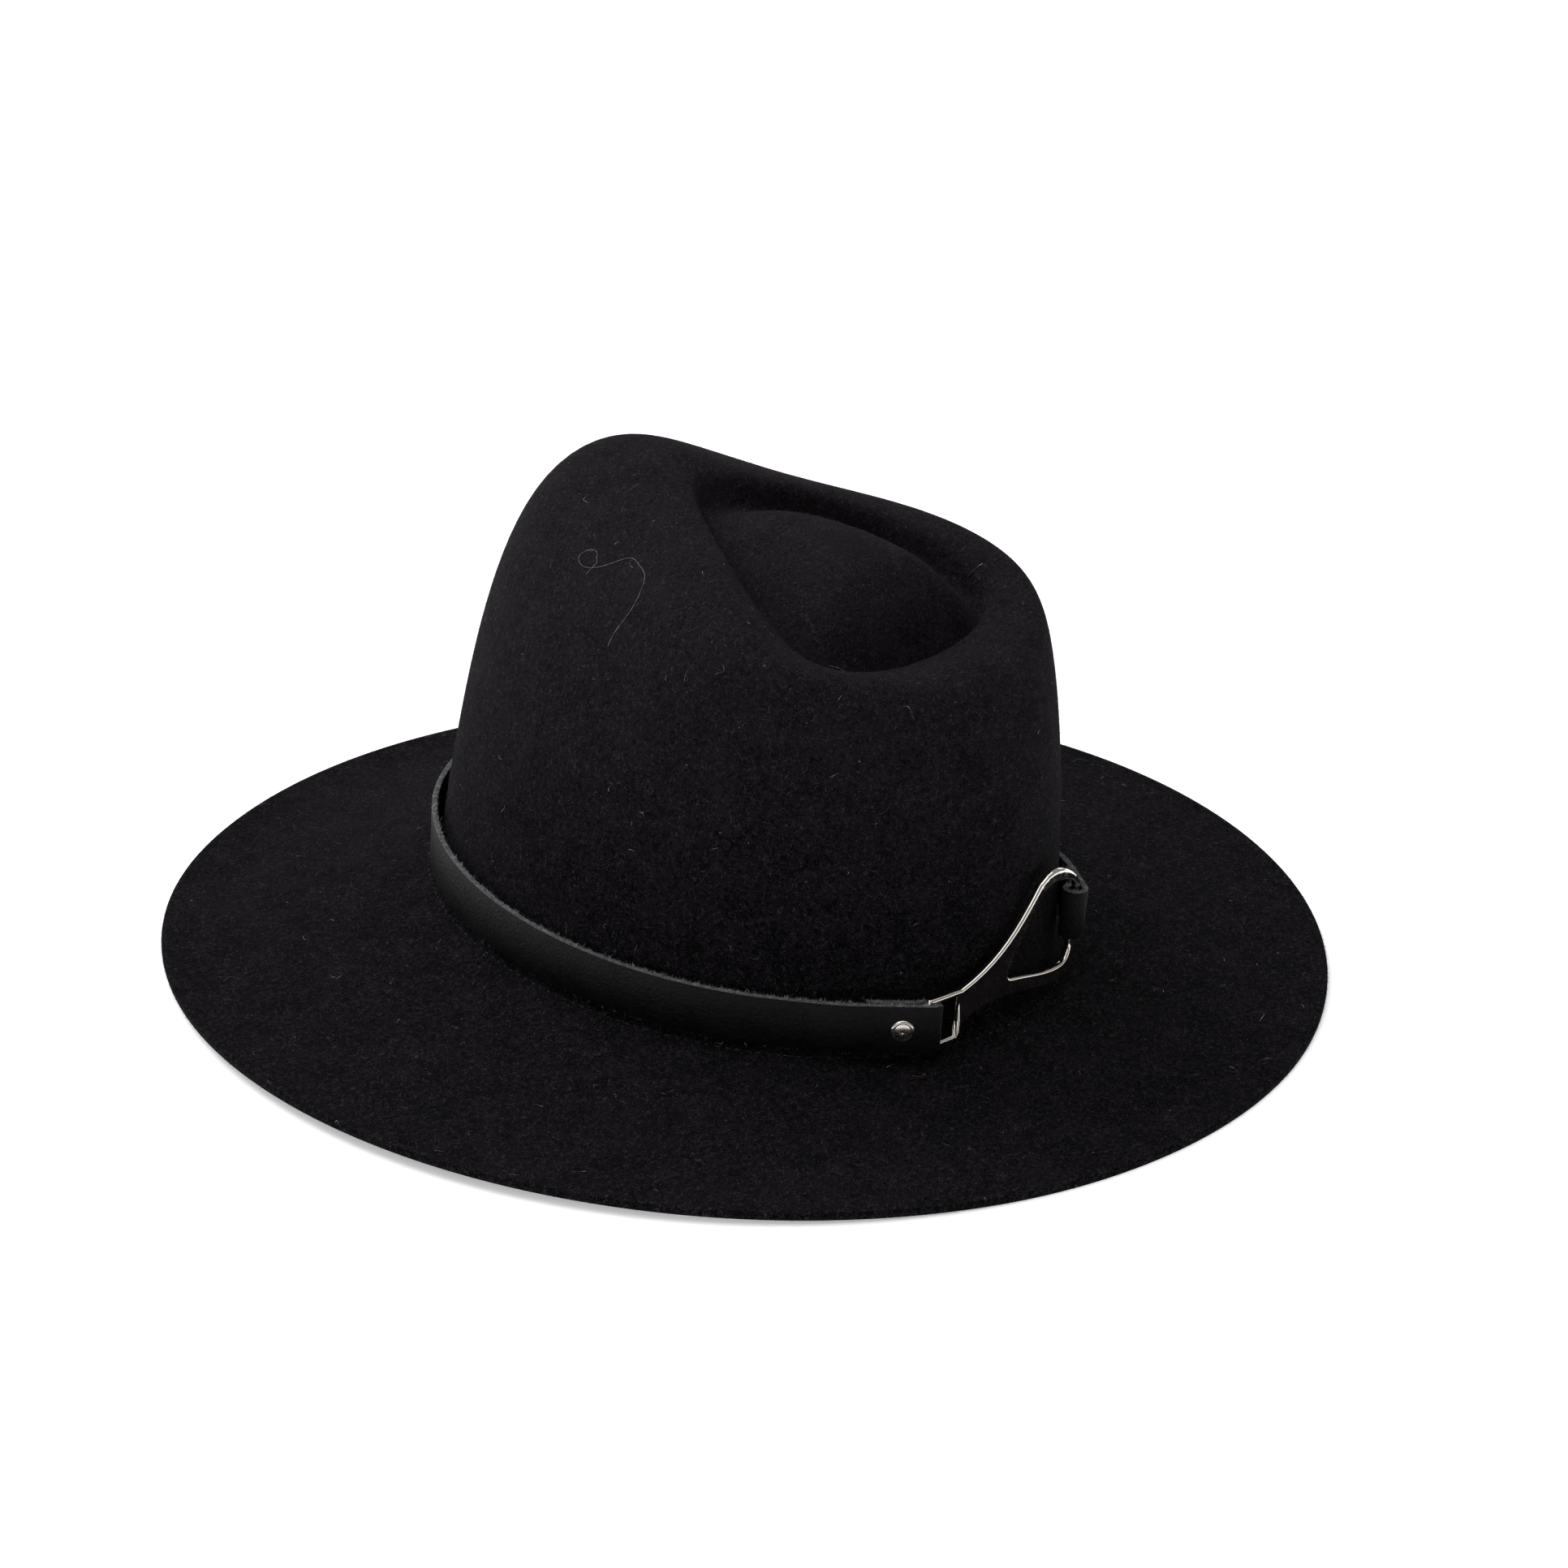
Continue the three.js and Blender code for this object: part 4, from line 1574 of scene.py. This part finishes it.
@dataclass
class Studio:
    """Pale floor, soft lights and the photograph's camera.

    Angles are in degrees. The camera's aim is a point of the hat in millimetres, its lens and
    sensor are in millimetres too, and its distance and the floor are in metres.
    """

    azimuth: float = 132.0
    elevation: float = 24.4
    distance: float = 1.5
    lens: float = 112.03
    sensor: float = 36.0
    roll: float = 1.1
    aim: tuple[float, float, float] = (-7.90, 8.77, 53.2)
    floor_half: float = 6.0
    table_glow: float = 0.4
    room: float = 0.26
    backdrop: float = 0.9
    boxes: tuple[Softbox, ...] = (
        Softbox("top_softbox", (-0.1, -0.3, 2.0), 3.0, 34.0),
        Softbox("far_left_softbox", (0.2, -1.35, 1.35), 1.5, 20.0),
        Softbox("near_left_softbox", (1.35, 0.35, 1.15), 1.0, 3.5),
    )

    def camera(self) -> None:
        """Sets the camera as the photograph's was."""
        azimuth, elevation = math.radians(self.azimuth), math.radians(self.elevation)
        back = Vector((
            math.sin(azimuth) * math.cos(elevation),
            -math.cos(azimuth) * math.cos(elevation),
            math.sin(elevation),
        ))
        right = Vector((math.cos(azimuth), math.sin(azimuth), 0.0))
        place = Vector(self.aim) * MM + back * self.distance
        roll = Matrix.Rotation(math.radians(self.roll), 4, "Z")
        data = bpy.data.cameras.new("photo_camera")
        data.sensor_width = self.sensor
        data.lens = self.lens
        camera = bpy.data.objects.new("photo_camera", data)
        camera.matrix_world = basis((right, back.cross(right), back), place) @ roll
        bpy.context.scene.collection.objects.link(camera)
        bpy.context.scene.camera = camera

    def floor(self) -> None:
        """Lays a white acrylic light table: matt, and lit a little from below."""
        shape = bmesh.new()
        bmesh.ops.create_grid(shape, x_segments=2, y_segments=2, size=self.floor_half)
        material, shader, coord = start_material("white_light_table")
        grain = add_node(
            material, "ShaderNodeTexNoise", {"Vector": coord.outputs["Object"]},
            {"Scale": cycles(3.0), "Detail": 2.0})
        colour = two_tone(material, grain.outputs["Fac"], [(0.3, "f4f4f4"), (0.7, "fafafa")])
        set_shader(
            shader, {"Base Color": colour},
            {"Roughness": 0.9, "Emission Color": linear("ffffff"),
             "Emission Strength": self.table_glow})
        mesh = mesh_of(shape, "floor", smooth=False)
        mesh.materials.append(material)
        floor = bpy.data.objects.new("floor", mesh)
        bpy.context.scene.collection.objects.link(floor)

    def world(self) -> None:
        """Surrounds the hat with an even white, which the camera sees brighter than it lights."""
        world = bpy.data.worlds.new("white_room")
        world.use_nodes = True
        tree = world.node_tree
        background = tree.nodes["Background"]
        background.inputs["Color"].default_value = linear("ffffff")
        seen = tree.nodes.new("ShaderNodeLightPath")
        level = tree.nodes.new("ShaderNodeMapRange")
        level.inputs["To Min"].default_value = self.room
        level.inputs["To Max"].default_value = self.backdrop
        tree.links.new(seen.outputs["Is Camera Ray"], level.inputs["Value"])
        tree.links.new(level.outputs["Result"], background.inputs["Strength"])
        bpy.context.scene.world = world
        bpy.context.scene.view_settings.view_transform = "Standard"

    def build(self) -> None:
        """Sets up the room."""
        self.camera()
        self.floor()
        self.world()
        for box in self.boxes:
            box.build()


def main() -> None:
    """Builds the hat and its room."""
    logging.basicConfig(level=logging.INFO, format="%(name)s %(message)s")
    Studio().build()
    shell = FeltShell()
    shell.build()
    shell.dress()
    arc = HookArc()
    strap = LeatherStrap(arc)
    strap.dress()
    Hook(arc).dress()
    for node, end in (("rivet_left", strap.left), ("rivet_right", strap.right)):
        _, _, inward, _ = strap.end_frame(end)
        Rivet(node, -inward).dress()
    Nap(shell).dress()
    LooseHair(shell).dress()
    BrimStitches(shell).dress()


if __name__ == "__main__":
    main()
